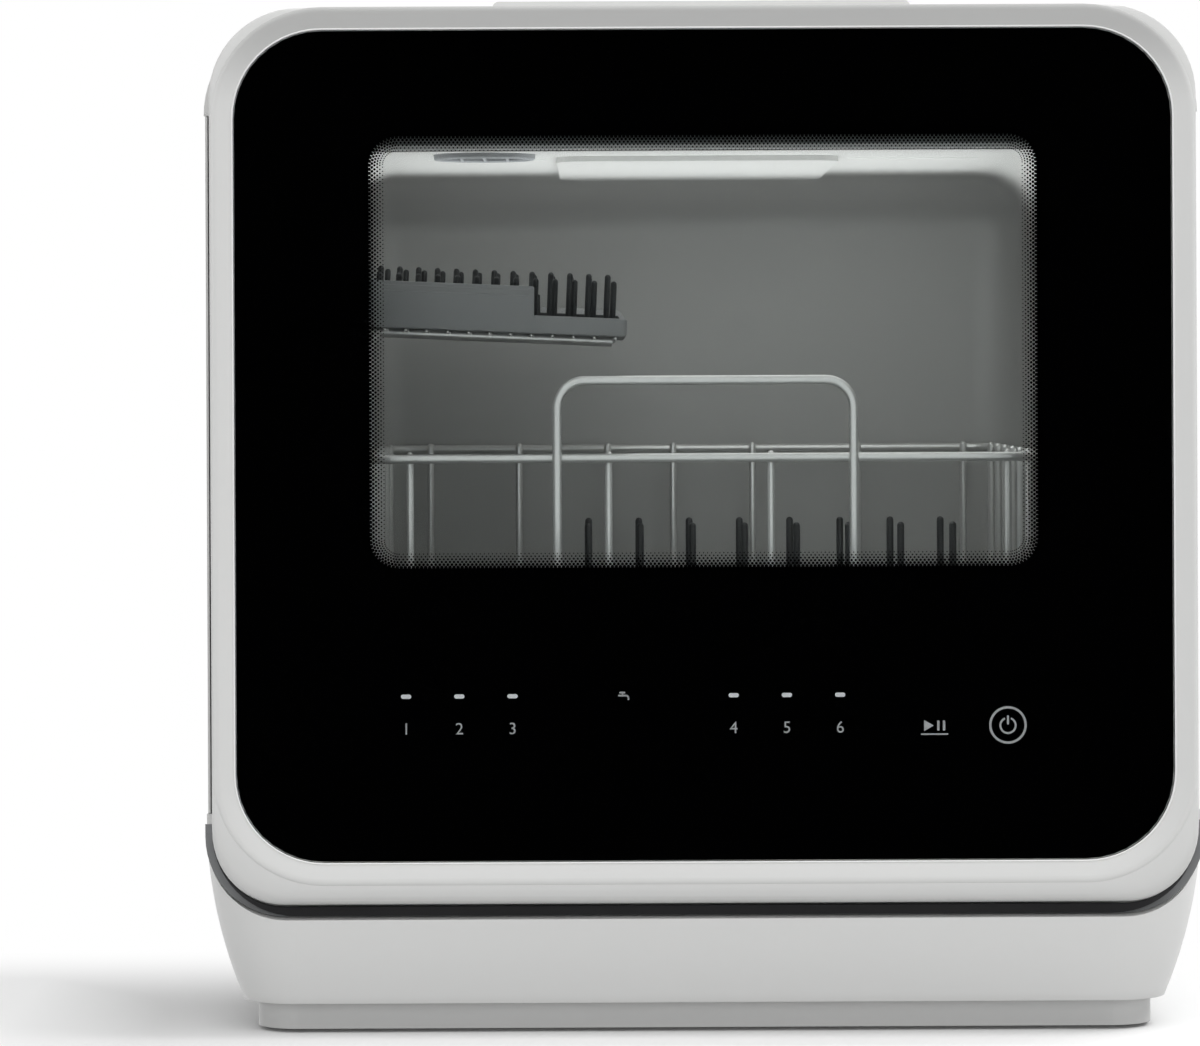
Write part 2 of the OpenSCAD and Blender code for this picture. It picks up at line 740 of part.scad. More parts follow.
module inlet_valve() color("white") difference() {
    union() {
        rod_y(port_y, port_y + 15, inlet_x, port_z, inlet_r);
        rod_y(port_in - 6, port_y, inlet_x, port_z, 8.8);
        box([inlet_x - 16, inlet_x + 16], [port_in - 36, port_in - 6], [port_z - 14, port_z + 26]);
        rod_z(port_z + 26, tank_top - tank_h, inlet_x, port_in - 20, hose_r - 1);
    }
    rod_y(port_y + 3, port_y + 15 + over, inlet_x, port_z, 9.5);
    rod_y(port_in - 10, port_y + 4, inlet_x, port_z, 5);
}

module cord_gland() color("black") difference() {
    union() {
        rod_y(port_in - 8, port_y, gland_x, port_z, 6.9);
        rod_y(port_y, port_y + 6, gland_x, port_z, 9);
        rod_y(port_in - 8, port_in, gland_x, port_z, 9);
    }
    rod_y(port_in - 8 - over, port_y + 6 + over, gland_x, port_z, 3.6);
}

module water_tank() color("lightsteelblue") translate([tank_x0 + tank_w / 2, tank_mid, 0]) {
    d = back_panel_y - tank_front;
    neck = fill_x - tank_x0 - tank_w / 2;
    neck_y = fill_y - tank_mid;
    difference() {
        union() {
            plan(tank_top - tank_h, tank_top) round_rect(tank_w, d, 10);
            rod_z(tank_top, tank_top + tank_neck, neck, neck_y, 17);
        }
        plan(tank_top - tank_h + 2, tank_top - 2) round_rect(tank_w - 4, d - 4, 8);
        rod_z(tank_top - 3, tank_top + tank_neck + over, neck, neck_y, 15);
    }
}

module fill_funnel() color("white") difference() {
    union() {
        rod_z(body_h, body_h + rim_h, fill_x, fill_y, fill_r + 7);
        rod_z(body_h - 10, body_h, fill_x, fill_y, fill_r + 3.5);
        rod_z(tank_top + 4, body_h - 10, fill_x, fill_y, 14);
        for (s = [-1, 1]) box([fill_x + s * lug_x - 1.5, fill_x + s * lug_x + 1.5],
            [fill_axis_y - 2.4, fill_axis_y + 2.4], [body_h, fill_axis_z + 2.4]);
    }
    rod_z(body_h - 3, body_h + rim_h + over, fill_x, fill_y, fill_r + 0.8);
    rod_z(body_h - 8, body_h, fill_x, fill_y, fill_r - 4);
    rod_z(tank_top, body_h - 7, fill_x, fill_y, 12);
    box([fill_x - 8.5, fill_x + 8.5], [fill_y + fill_r - 6, fill_axis_y + 6], [body_h - 3, body_h + 5]);
    rod_x(fill_x - 12, fill_x + 12, fill_axis_y, fill_axis_z, 1.5 + run);
}

module fill_lid() color("white") difference() {
    union() {
        rod_z(body_h - 2.7, body_h + 0.4, fill_x, fill_y, fill_r + 0.2);
        box([fill_x - 8, fill_x + 8], [fill_axis_y - 9, fill_axis_y], [body_h - 1.4, fill_axis_z + 0.5]);
        rod_x(fill_x - 8, fill_x + 8, fill_axis_y, fill_axis_z, 2);
        rod_x(fill_x - 11.4, fill_x + 11.4, fill_axis_y, fill_axis_z, 1.5);
    }
    translate([fill_x, fill_y - fill_r + 8, body_h + 7]) sphere(8.4);
}

module control_board() color("darkgreen") {
    top = board_z + board_t;
    box(board_x, board_y, [board_z, top]);
    for (i = [0:3]) box([board_x[0] + 10 + 18 * i, board_x[0] + 22 + 18 * i], [-90, -74], [top, top + 12.4]);
    rod_z(top, top + 22, board_x[1] - 22, board_y[0] + 23, 9);
}

// ---------- drying fan and latch ----------

module fan_housing() color("gray") difference() {
    union() {
        rod_z(fan_z, fan_z + 26, vent_x, fan_y, fan_r);
        rod_z(fan_z + 26, fan_z + 40, vent_x, fan_y, 20);
    }
    rod_z(fan_z + 2, fan_z + 24, vent_x, fan_y, fan_r - 2);
    rod_z(fan_z - over, fan_z + 3, vent_x, vent_y, vent_r - 3);
    rod_z(fan_z + 23, fan_z + 36, vent_x, fan_y, 2 + run);
}

module fan_rotor() color("dimgray") {
    rod_z(fan_z + 19, fan_z + 21, vent_x, fan_y, fan_r - 6);
    rod_z(fan_z + 6, fan_z + 34, vent_x, fan_y, 2);
    rod_z(fan_z + 6, fan_z + 19, vent_x, fan_y, 6);
    for (i = [0:15]) translate([vent_x, fan_y, 0]) rotate(22.5 * i)
        box([fan_r - 14, fan_r - 6.3], [-0.7, 0.7], [fan_z + 5, fan_z + 19]);
}

module latch_housing() color("dimgray") difference() {
    box([-20, 20], [mouth_y, mouth_y + 36], [latch_z - 13, latch_z + 15]);
    box([-11, 11], [mouth_y - over, mouth_y + 30], [latch_z - 8, latch_z + 7]);
    box([-bolt_w / 2 - play, bolt_w / 2 + play], [bolt_y - bolt_w / 2 - play, bolt_y + bolt_w / 2 + play],
        [latch_z, latch_z + 15 + over]);
}

module latch_bolt() color("silver") {
    box([-bolt_w / 2, bolt_w / 2], [bolt_y - bolt_w / 2, bolt_y + bolt_w / 2],
        [latch_z + striker_h / 2 + 0.9, latch_z + 11]);
}

module door_striker() color("silver") {
    box([-12, 12], [door_back, door_back + 1.5], [latch_z - 10, latch_z + 10]);
    difference() {
        box([-8, 8], [door_back + 1.5, mouth_y + 12], [latch_z - striker_h / 2, latch_z + striker_h / 2]);
        translate([0, mouth_y + 12, latch_z + striker_h / 2]) rotate([45, 0, 0])
            cube([20, 5, 5], center = true);
    }
}

// ---------- hinges ----------

module hinge_brackets() color("silver") for (s = [-1, 1]) difference() {
    union() {
        rod_x(s * hinge_x - tongue_t / 2, s * hinge_x + tongue_t / 2, hinge_y, hinge_z, eye_r);
        box([s * hinge_x - tongue_t / 2, s * hinge_x + tongue_t / 2], [hinge_y, cab_y + skin + 2.5],
            [hinge_z - 1, hinge_z + 6]);
        box([s * hinge_x - 16, s * hinge_x + 16], [cab_y + skin, cab_y + skin + 2.5],
            [hinge_z - 15, hinge_z + 15]);
    }
    rod_x(s * hinge_x - 5, s * hinge_x + 5, hinge_y, hinge_z, pin_r + run);
    for (z = [-1, 1]) rod_y(cab_y, cab_y + 10, s * (hinge_x - 10), hinge_z + 10 * z, 1.6);
}

module hinge_plates() color("silver") for (s = [-1, 1]) translate([s * hinge_x, 0, 0]) difference() {
    union() {
        for (m = [0, 1]) mirror([m, 0, 0]) {
            rod_x(cheek_x, cheek_x + cheek_t, hinge_y, hinge_z, eye_r);
            box([cheek_x, cheek_x + cheek_t], [wall_back, hinge_y + 14], [hinge_z, hinge_z + 48]);
        }
        box([-14, 14], [wall_back, wall_back + 2], [hinge_z + 16, hinge_z + 48]);
    }
    rod_x(-10, 10, hinge_y, hinge_z, pin_r + 0.02);
}

module hinge_pins() color("gray") for (s = [-1, 1])
    rod_x(s * hinge_x - cheek_x - cheek_t, s * hinge_x + cheek_x + cheek_t, hinge_y, hinge_z, pin_r);

// ---------- door ----------

// The door's solid form: the lower edge rolls under in a quarter round that the hinge line runs through.
module door_form() {
    hull() for (a = [0:15:90]) {
        y = door_front + roll_r * (1 - cos(a));
        slab_y(y, y + 0.01) door_outline(sin(a), $fn = 48);
    }
    slab_y(hinge_y, liner_y) door_outline(1);
}

function liner_screws() = [for (s = [-1, 1], z = [door_z + 45, window_z + window_h / 2, body_h - 50])
    [s * (door_w / 2 - 12), z]];

function lamp_places() = [for (mid = lamp_mids, i = [-1:1]) [mid + lamp_pitch * i, lamp_z]];

module lamps(grow, y0, y1) for (p = lamp_places())
    box([p[0] - lamp_w / 2 - grow, p[0] + lamp_w / 2 + grow], [y0, y1],
        [p[1] - lamp_h / 2 - grow, p[1] + lamp_h / 2 + grow]);

module door_shell() color("white") difference() {
    union() {
        difference() {
            door_form();
            slab_y(wall_back, liner_y + over) door_outline(1, skin);
        }
        slab_y(wall_front, inner_glass_y) window_outline(sight + skin);
        for (p = liner_screws()) rod_y(wall_back - over, liner_y, p[0], p[1], 4.5);
    }
    slab_y(front_y - over, wall_front) door_outline(0, glass_in - 0.1);
    slab_y(front_y - over, door_front + bezel_t) door_outline(0, bezel_in - 0.1);
    slab_y(front_y - over, liner_y + over) window_outline(sight);
    for (s = [-1, 1]) translate([s * hinge_x, 0, 0]) {
        rod_x(-cheek_x - cheek_t - play, cheek_x + cheek_t + play, hinge_y, hinge_z, eye_r + play);
        box([-tongue_t / 2 - 0.7, tongue_t / 2 + 0.7], [hinge_y - 1.5, liner_y + over],
            [door_z - over, slot_top]);
    }
    lamps(0.15, wall_front - over, wall_back + over);
    for (p = liner_screws()) rod_y(liner_y - 10, liner_y + over, p[0], p[1], 1.5 + run);
}

// The bezel is a raised bead with a rounded face that frames the glass.
module door_bezel() color("white") ring_upright(door_w - 2 * (crease_in + bezel_in),
        hinge_z + bezel_in, body_h - crease_top - bezel_in, crease_r - bezel_in, door_front + bezel_t)
    intersection() {
        translate([-bezel_w, 0]) square([bezel_w, bezel_t + bezel_proud]);
        translate([-bezel_w / 2, bezel_t + bezel_proud - 22]) circle(22);
    }

module door_glass() color([0.03, 0.03, 0.04]) slab_y(glass_y, mask_y) door_outline(0, glass_in);

module window_mask() color("black") difference() {
    slab_y(mask_y, wall_front) difference() {
        door_outline(0, glass_in);
        window_outline(-3);
    }
    lamps(0, mask_y - over, wall_front + over);
}

module door_liner() color("silver") difference() {
    slab_y(liner_y, door_back) difference() {
        door_outline(1, 0.6);
        window_outline(sight - 1);
        translate([disp_x[0] - 0.3, disp_z[0] - 0.3])
            square([disp_x[1] - disp_x[0] + 0.6, disp_z[1] - disp_z[0] + 0.6]);
        for (s = [-1, 1]) translate([s * hinge_x - tongue_t / 2 - 0.7, door_z - over])
            square([tongue_t + 1.4, slot_top - door_z + over]);
    }
    for (p = liner_screws()) rod_y(liner_y - over, door_back + over, p[0], p[1], 1.5 + run);
}

module inner_glass() color([0.8, 0.9, 0.9, 0.4])
    slab_y(inner_glass_y, inner_glass_y + inner_glass_t) window_outline(sight + 2);

module window_seal() color("dimgray") slab_y(liner_y - seal_t, liner_y) difference() {
    window_outline(sight + 2);
    window_outline(sight - 1);
}

module touch_board() color("darkgreen") {
    box([-touch_w / 2, touch_w / 2], [wall_back, wall_back + board_t], [touch_top - touch_h, touch_top]);
    box([-30, 20], [wall_back + board_t, wall_back + 5], [touch_top - touch_h + 7, touch_top - 7]);
}

module light_guides() color("ivory") lamps(0, wall_front, wall_back);

module grip_lip() color("white") slab_y(grip_y - grip_d, grip_y) intersection() {
    translate([0, body_h - grip_h]) plate(grip_w, 0, 2 * grip_h, grip_h, grip_h);
    translate([-grip_w / 2, body_h]) square([grip_w, grip_h]);
}

module door_screws() color("silver") for (p = liner_screws())
    translate([p[0], door_back, p[1]]) rotate([-90, 0, 0]) difference() {
        screw(9);
        translate([0, 0, 1.2]) cylinder(h = over, r = 1.2);
    }

module dispenser() color("gainsboro") difference() {
    union() {
        box(disp_x, [wall_back + 8, disp_front], disp_z);
        for (z = [lid_z[0] - 2.4, lid_z[1] + 0.4])
            box([disp_x[0] + 2, lid_x + lid_w + 2], [disp_front, disp_front + 2.4], [z, z + 2]);
    }
    box([lid_x + 3, lid_x + lid_w - 3], [wall_back + 10, disp_front + over], [lid_z[0] + 3, lid_z[1] - 3]);
    rod_y(wall_back + 12, disp_front + over, cap_x, cap_z, cap_r + run);
}

module dispenser_lid() color("slategray") difference() {
    box([lid_x, lid_x + lid_w], [disp_front + play, disp_front + 2.2], lid_z);
    for (i = [0:2]) box([lid_x + 6 + 6 * i, lid_x + 9 + 6 * i], [disp_front + 1.6, disp_front + 3],
        [lid_z[0] + 10, lid_z[1] - 10]);
}

module rinse_cap() color("slategray") {
    rod_y(disp_front - 10, disp_front + play, cap_x, cap_z, cap_r);
    rod_y(disp_front + play, disp_front + 1.2, cap_x, cap_z, cap_r + 3);
    box([cap_x - cap_r, cap_x + cap_r], [disp_front + 1.2, disp_front + 2.4], [cap_z - 1.5, cap_z + 1.5]);
}

// ---------- rack ----------

module wire_ring(z) translate([0, rack_mid, z])
    ring_sweep(rack_w, rack_d, rack_corner) circle(rail_wire, $fn = 24);

module tray_arm(y) {
    x = -rack_w / 2 - inner;
    r = 8;
    rod_z(rack_z, tray_z - thin_wire - r, x, y, thin_wire);
    translate([x + r, y, tray_z - thin_wire - r]) rotate([90, 0, 180]) rotate_extrude(angle = 90)
        translate([r, 0]) circle(thin_wire, $fn = 24);
    tilted() rod_x(x + r, tray_right - 6, y, tray_z - thin_wire, thin_wire);
}

// The tray and its two arms lean down towards the middle of the rack.
module tilted() translate([tray_left, 0, tray_z]) rotate([0, tray_tilt, 0]) translate([-tray_left, 0, -tray_z])
    children();

module rack_frame() color("darkgray") {
    for (z = [rack_z, rack_top]) wire_ring(z);
    for (s = [-1, 1]) rod_z(rack_z, rack_top + hoop_h - hoop_r, hoop_x + s * hoop_w / 2, hoop_y, rail_wire);
    for (s = [0, 1]) translate([hoop_x, hoop_y, rack_top + hoop_h - hoop_r]) mirror([s, 0, 0])
        translate([hoop_w / 2 - hoop_r, 0, 0]) rotate([90, 0, 0]) rotate_extrude(angle = 90)
            translate([hoop_r, 0]) circle(rail_wire, $fn = 24);
    rod_x(hoop_x - hoop_w / 2 + hoop_r, hoop_x + hoop_w / 2 - hoop_r, hoop_y, rack_top + hoop_h, rail_wire);
    for (y = [tray_front + 30, tray_front + tray_d - 30]) tray_arm(y);
    for (s = [-1, 1], y = wheel_ys()) {
        box([s * rack_w / 2 - 2, s * rack_w / 2 + 2], [y - 3, y + 3], [wheel_z, rack_z]);
        for (m = [(1 - s) / 2]) mirror([m, 0, 0]) rod_x(rack_w / 2 - 2, axle_end, y, wheel_z, pin_r);
    }
}

function wheel_ys() = [rack_front + 120, rack_back - 24];

module wheel_pair(y) for (s = [-1, 1]) difference() {
    translate([s * (rack_w / 2 + 3 + wheel_w / 2), y, wheel_z]) rotate([0, 90, 0])
        cylinder(h = wheel_w, r = wheel_r, center = true);
    rod_x(-axle_end - over, axle_end + over, y, wheel_z, pin_r + run);
}

module rack_wheels_front() color("lightgray") wheel_pair(wheel_ys()[0]);
module rack_wheels_rear() color("lightgray") wheel_pair(wheel_ys()[1]);

// Straight wires that lie on or stand against the two rails.
module rack_basket() color("darkgray") {
    for (y = cross_y) {
        rod_x(-rack_w / 2, rack_w / 2, y, cross_z, thin_wire);
        for (s = [-1, 1]) rod_z(cross_z + thin_wire, post_top, s * (rack_w / 2 - inner), y, thin_wire);
    }
    for (x = concat(upright_x, middle_x)) {
        rod_y(rack_front, rack_back, x, long_z, thin_wire);
        rod_z(long_z + thin_wire, post_top, x, rack_back - inner, thin_wire);
    }
    for (x = upright_x) rod_z(long_z + thin_wire, post_top, x, rack_front + inner, thin_wire);
}

module plate_tines() color("gray") for (y = [cross_y[2], cross_y[4]], i = [0:7])
    rod_z(cross_z + thin_wire, cross_z + thin_wire + tine_h, tine_x + tine_pitch * i, y, thin_wire);

// The cutlery tray is a shallow dish with a high left part, a low right part and a row of comb pins.

module cutlery_tray() color("gray") tilted() {
    y = [tray_front, tray_front + tray_d];
    floor = tray_z + tray_wall;
    step = tray_left + tray_high;
    difference() {
        union() {
            box([tray_left, tray_right], y, [tray_z, tray_z + tray_low]);
            box([tray_left, step], y, [tray_z, tray_z + tray_tall]);
            box([step - 1, tray_right], [y[1] - tray_wall, y[1]], [tray_z, tray_z + tray_rear]);
        }
        box([tray_left + tray_wall, tray_right - tray_wall], [y[0] + tray_wall, y[1] - tray_wall],
            [floor, tray_z + tray_tall + over]);
    }
    // The front row of pins is lower, and the rows behind it stand a little to the left.
    for (i = [0:12], j = [0:2]) {
        x = tray_right - 6.5 - pin_pitch * i - (j > 0 ? pin_w : 0);
        box([x - pin_w / 2, x + pin_w / 2], [y[0] + 30 + 70 * j, y[0] + 30 + 70 * j + pin_w],
            [floor - 0.1, tray_z + (j > 0 ? 29 : 24.7)]);
    }
}

// ---------- spray arm and float ----------

module arm_plan(inset) {
    circle(18 - inset);
    for (s = [-1, 1]) {
        translate([s * (arm_r - arm_w / 2), 0]) circle(arm_w / 2 - inset);
        translate([s > 0 ? 0 : -(arm_r - arm_w / 2), -arm_w / 2 + inset])
            square([arm_r - arm_w / 2, arm_w - 2 * inset]);
    }
}

module spray_arm() color("gray") translate([0, tub_mid, 0]) difference() {
    plan(arm_z, arm_z + arm_h) arm_plan(0);
    plan(arm_z + 1.6, arm_z + arm_h - 1.6) difference() {
        arm_plan(1.6);
        circle(11);
    }
    rod_z(arm_z - over, arm_z + arm_h + over, 0, 0, riser_r + run);
    rod_x(-13, 13, 0, arm_z + arm_h / 2, 3);
    for (s = [-1, 1], r = nozzles)
        rod_z(arm_z + arm_h - 2, arm_z + arm_h + over, s * r, s * 7 * sin(r * 5), 1.3);
}

module float_cap() color("white") difference() {
    union() {
        rod_z(tub_z + 1, tub_z + 13, float_x, float_y, 11);
        rod_z(tub_under - 8, tub_z + 13, float_x, float_y, float_r - 2 * run);
    }
    difference() {
        rod_z(tub_z, tub_z + 11, float_x, float_y, 7.4);
        rod_z(tub_z - over, tub_z + 12, float_x, float_y, float_r - 2 * run);
    }
}

base_housing();
front_frame();
side_panel_left();
side_panel_right();
top_cover();
back_panel();
feet();
cabinet_screws();
tub();
vent_grille();
door_gasket();
rack_rails();
sump();
filter_plate();
filter_cup();
spray_riser();
heater();
wash_pump();
wash_hose();
drain_pump();
drain_hose();
water_tank();
fill_funnel();
inlet_valve();
drain_spigot();
cord_gland();
control_board();
fan_housing();
latch_housing();
hinge_brackets();
door_shell();
door_bezel();
door_glass();
window_mask();
door_liner();
inner_glass();
window_seal();
touch_board();
light_guides();
grip_lip();
door_striker();
hinge_plates();
hinge_pins();
dispenser();
door_screws();
dispenser_lid();
rinse_cap();
rack_frame();
rack_basket();
plate_tines();
cutlery_tray();
rack_wheels_front();
rack_wheels_rear();
spray_arm();
fill_lid();
latch_bolt();
float_cap();
fan_rotor();
wash_impeller();
drain_impeller();
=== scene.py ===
# %% [markdown]
# # A countertop dishwasher
#
# The construction model gives every piece its place and its main shape. This script dresses it:
# it makes the finishes, adds the fine pieces that a machine drawing leaves out, and sets up a
# small photo studio around the machine. All lengths are metres, and the machine stands on z = 0
# with its door towards -Y.

# %% Load the frame
import math

import bmesh
import bpy
from mathutils import Matrix, Vector


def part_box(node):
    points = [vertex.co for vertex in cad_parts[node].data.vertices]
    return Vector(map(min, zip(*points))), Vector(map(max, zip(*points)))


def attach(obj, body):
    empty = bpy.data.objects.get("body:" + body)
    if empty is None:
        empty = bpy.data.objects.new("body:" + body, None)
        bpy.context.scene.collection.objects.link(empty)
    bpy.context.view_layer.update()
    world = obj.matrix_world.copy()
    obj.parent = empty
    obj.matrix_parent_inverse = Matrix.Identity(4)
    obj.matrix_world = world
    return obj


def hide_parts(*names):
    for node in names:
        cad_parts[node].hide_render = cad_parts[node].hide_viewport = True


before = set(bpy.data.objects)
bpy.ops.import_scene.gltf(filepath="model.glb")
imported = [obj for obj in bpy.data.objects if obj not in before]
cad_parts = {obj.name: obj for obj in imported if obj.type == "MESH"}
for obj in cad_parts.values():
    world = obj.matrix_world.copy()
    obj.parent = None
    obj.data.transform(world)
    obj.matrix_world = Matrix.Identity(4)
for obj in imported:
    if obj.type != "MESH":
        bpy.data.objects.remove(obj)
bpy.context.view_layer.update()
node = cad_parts
scene = bpy.context.scene

# %% [markdown]
# ## Planes of the machine
#
# The pieces made here have to meet the construction model, so the planes they share with it are
# read from the boxes of its nodes and given names once. Sizes are easier to read in
# millimetres, so a helper turns them into metres.

# %% Shared planes and sizes
MM = 0.001


def mm(*values):
    """Millimetres to metres: one number, or a vector of three."""
    return values[0] * MM if len(values) == 1 else Vector(values) * MM


glass_low, glass_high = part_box("door_glass")
glass_back = glass_high.y
WINDOW_W, WINDOW_H, WINDOW_Z, WINDOW_R = mm(280), mm(181), mm(197), mm(12)
print("glass", tuple(glass_low), tuple(glass_high))

# %% [markdown]
# ## The camera
#
# A lens of about 143 mm, two metres in front of the door, keeps the upright edges upright. The
# camera stands a little above the middle of the door, and the lens is shifted down rather than
# tilted, which is how a product photographer avoids leaning lines.

# %% Camera
FRAME_W = 0.502
CAMERA_AWAY = 2.0
SENSOR = 36
DOOR_PLANE = -0.2175
CAMERA_X, CAMERA_Z, CAMERA_TURN = -0.0433, 0.2785, math.radians(-0.27)
camera_data = bpy.data.cameras.new("camera")
camera = bpy.data.objects.new("camera", camera_data)
scene.collection.objects.link(camera)
scene.camera = camera
camera_data.sensor_width = SENSOR
camera_data.lens = SENSOR * CAMERA_AWAY / FRAME_W
camera_data.shift_y = -0.125
camera_data.clip_end = 100
camera.location = (CAMERA_X, DOOR_PLANE - CAMERA_AWAY, CAMERA_Z)
camera.rotation_euler = (Matrix.Rotation(math.radians(90), 4, "X")
                         @ Matrix.Rotation(CAMERA_TURN, 4, "Z")).to_euler()
print("lens", round(camera_data.lens, 1))

# %% [markdown]
# ## Helpers for node trees
#
# Every material is a tree of nodes that are linked by their sockets. These helpers give a node
# its plain values, feed a socket with a number or with another socket, and make the two kinds of
# node that are needed most often.

# %% Node helpers
def set_inputs(n, **values):
    """Gives a node's inputs plain values by socket name."""
    for key, value in values.items():
        n.inputs[key.replace("_", " ")].default_value = value
    return n


def add_node(tree, kind, **values):
    """A new node with plain values for its inputs."""
    return set_inputs(tree.nodes.new(kind), **values)


def feed(tree, source, target):
    """Gives a socket a plain number, or links it to another socket."""
    if isinstance(source, (int, float)):
        target.default_value = source
    else:
        tree.links.new(source, target)


def calculate(tree, operation, *values):
    """A maths node; its values are numbers or sockets."""
    n = tree.nodes.new("ShaderNodeMath")
    n.operation = operation
    for source, target in zip(values, n.inputs):
        feed(tree, source, target)
    return n.outputs[0]


def mix_shaders(tree, share, first, second, target):
    """Leads a mix of two shader nodes to a target socket; the share is the second one's."""
    mix = tree.nodes.new("ShaderNodeMixShader")
    for source, socket in zip((share, first.outputs[0], second.outputs[0]), mix.inputs):
        tree.links.new(source, socket)
    tree.links.new(mix.outputs[0], target)


# %% [markdown]
# ## The studio
#
# White plastic on a white floor needs soft light that is even, with one direction slightly
# stronger, so that the forms still turn. A pale world gives the even part: it is brightest in
# front and above, like a large window, and falls off behind and below. The camera, mirrors and
# panes see it plain white, so the background stays clean.

# %% World
scene.view_settings.view_transform = "Standard"
world = bpy.data.worlds.new("studio")
scene.world = world
world.use_nodes = True
wt = world.node_tree
wt.nodes.clear()
WORLD_MIDDLE, WORLD_SLOPE = 0.5, (0.05, -0.86, 0.42)
path = wt.nodes.new("ShaderNodeLightPath").outputs
seen = calculate(wt, "MAXIMUM", path["Is Camera Ray"], path["Is Glossy Ray"])
seen = calculate(wt, "MAXIMUM", seen, path["Is Transmission Ray"])
slope = wt.nodes.new("ShaderNodeVectorMath")
slope.operation = "DOT_PRODUCT"
slope.inputs[1].default_value = WORLD_SLOPE
wt.links.new(wt.nodes.new("ShaderNodeTexCoord").outputs["Generated"], slope.inputs[0])
dim = add_node(wt, "ShaderNodeBackground", Color=(1, 1, 1, 1))
feed(wt, calculate(wt, "ADD", slope.outputs["Value"], WORLD_MIDDLE), dim.inputs["Strength"])
white = add_node(wt, "ShaderNodeBackground", Color=(1, 1, 1, 1), Strength=1.0)
out = wt.nodes.new("ShaderNodeOutputWorld")
mix_shaders(wt, seen, dim, white, out.inputs["Surface"])
print("world:", WORLD_MIDDLE, "and", WORLD_SLOPE)

# %% [markdown]
# A very wide sun from the right gives the light its direction. Little light finds its way
# through the window, so a wide, weak lamp hangs under the tub's ceiling and shines up at it, as
# a photographer would hide one there.

# %% Lamps
def add_lamp(name, kind, **settings):
    """A lamp of a kind, with its settings by name."""
    data = bpy.data.lights.new(name, kind)
    for key, value in settings.items():
        setattr(data, key, value)
    lamp = bpy.data.objects.new(name, data)
    scene.collection.objects.link(lamp)
    return lamp


KEY_FROM, TUB_LAMP_AT = Vector((0.5, 0.12, 0.82)), (0, -0.065, 0.328)
key_light = add_lamp("key_light", "SUN", energy=1.75, angle=math.radians(44))
key_light.rotation_euler = KEY_FROM.to_track_quat("Z", "Y").to_euler()
tub_lamp = add_lamp("tub_light", "AREA", shape="RECTANGLE", size=0.3, size_y=0.23, energy=0.62,
                    spread=math.radians(165))
tub_lamp.location = TUB_LAMP_AT
tub_lamp.rotation_euler = (math.pi, 0, 0)
for kind in ("camera", "glossy", "transmission"):
    setattr(tub_lamp, "visible_" + kind, False)

# %% [markdown]
# A finished mesh always goes the same way: its bmesh becomes an object at the origin, it is
# shaded smooth where its faces meet at a shallow angle, and it gets one material.

# %% Helper that turns a bmesh into a piece
def make_piece(name, bm, material, sharp=32):
    """Writes a bmesh into a new object at the origin and frees it."""
    bmesh.ops.remove_doubles(bm, verts=bm.verts, dist=1e-7)
    mesh = bpy.data.meshes.new(name)
    bm.to_mesh(mesh)
    bm.free()
    piece = bpy.data.objects.new(name, mesh)
    scene.collection.objects.link(piece)
    mesh.materials.append(material)
    mesh.shade_smooth()
    mesh.set_sharp_from_angle(angle=math.radians(sharp))
    return piece


def put_on(piece, body, slot, *replaced):
    """Rides a piece on a body and hides the nodes it stands for; its slot is not used."""
    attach(piece, body)
    if replaced:
        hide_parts(*replaced)
    print(piece.name, len(piece.data.polygons), "faces on", body)


# %% [markdown]
# The floor is a large sheet of matt white paper. It is lit a little brighter than white, so it
# melts into the background, and only the soft shadow of the machine shows on it. Behind the
# machine the paper glows white for the camera, painted light that washes the shadow out there,
# and further out to its left and in front the glow thins it. White paper throws more light up
# than a real table does, so for rays that bounce it is grey.

# %% Paper floor
def simple_material(name, colour, rough):
    """A plain Principled material without any shine, for the studio only."""
    mat = bpy.data.materials.new(name)
    mat.use_nodes = True
    set_inputs(mat.node_tree.nodes["Principled BSDF"], Base_Color=(*colour, 1), Roughness=rough,
               Specular_IOR_Level=0.0)
    return mat


def stage_sheet(name, size, place, material):
    """A square sheet of the studio."""
    bm = bmesh.new()
    bmesh.ops.create_grid(bm, x_segments=1, y_segments=1, size=size / 2, matrix=place)
    sheet = make_piece(name, bm, material)
    return sheet


def wash_out(tree, along, start, end, share, smooth=False):
    """How strongly the paper glows white, painted light over the shadow, rising along one axis of
    the floor.
    """
    ramp = add_node(tree, "ShaderNodeMapRange", From_Min=start, From_Max=end, To_Max=share)
    if smooth:
        ramp.interpolation_type = "SMOOTHSTEP"
    tree.links.new(along, ramp.inputs["Value"])
    return ramp.outputs["Result"]


FLOOR_SIZE, FLOOR_GREY, FLOOR_WHITE = 60, 0.45, 0.86
paper = simple_material("paper", (FLOOR_WHITE,) * 3, 0.9)
floor = stage_sheet("floor", FLOOR_SIZE, Matrix.Identity(4), paper)
floor.visible_glossy = floor.visible_transmission = False
pt = paper.node_tree
paper_shader = pt.nodes["Principled BSDF"]
by_camera = pt.nodes.new("ShaderNodeLightPath").outputs["Is Camera Ray"]
tone = pt.nodes.new("ShaderNodeMix")
tone.data_type = "RGBA"
set_inputs(tone, A=(*(FLOOR_GREY,) * 3, 1), B=(*(FLOOR_WHITE,) * 3, 1))
pt.links.new(by_camera, tone.inputs["Factor"])
pt.links.new(tone.outputs["Result"], paper_shader.inputs["Base Color"])
axes = pt.nodes.new("ShaderNodeSeparateXYZ")
pt.links.new(pt.nodes.new("ShaderNodeTexCoord").outputs["Object"], axes.inputs[0])
# Painted light: for the camera the paper glows white behind the machine and partly to its left and
# in front.
behind = wash_out(pt, axes.outputs["Y"], -0.12, 0.1, 1.0, smooth=True)
left = wash_out(pt, axes.outputs["X"], -0.235, -0.3, 0.5)
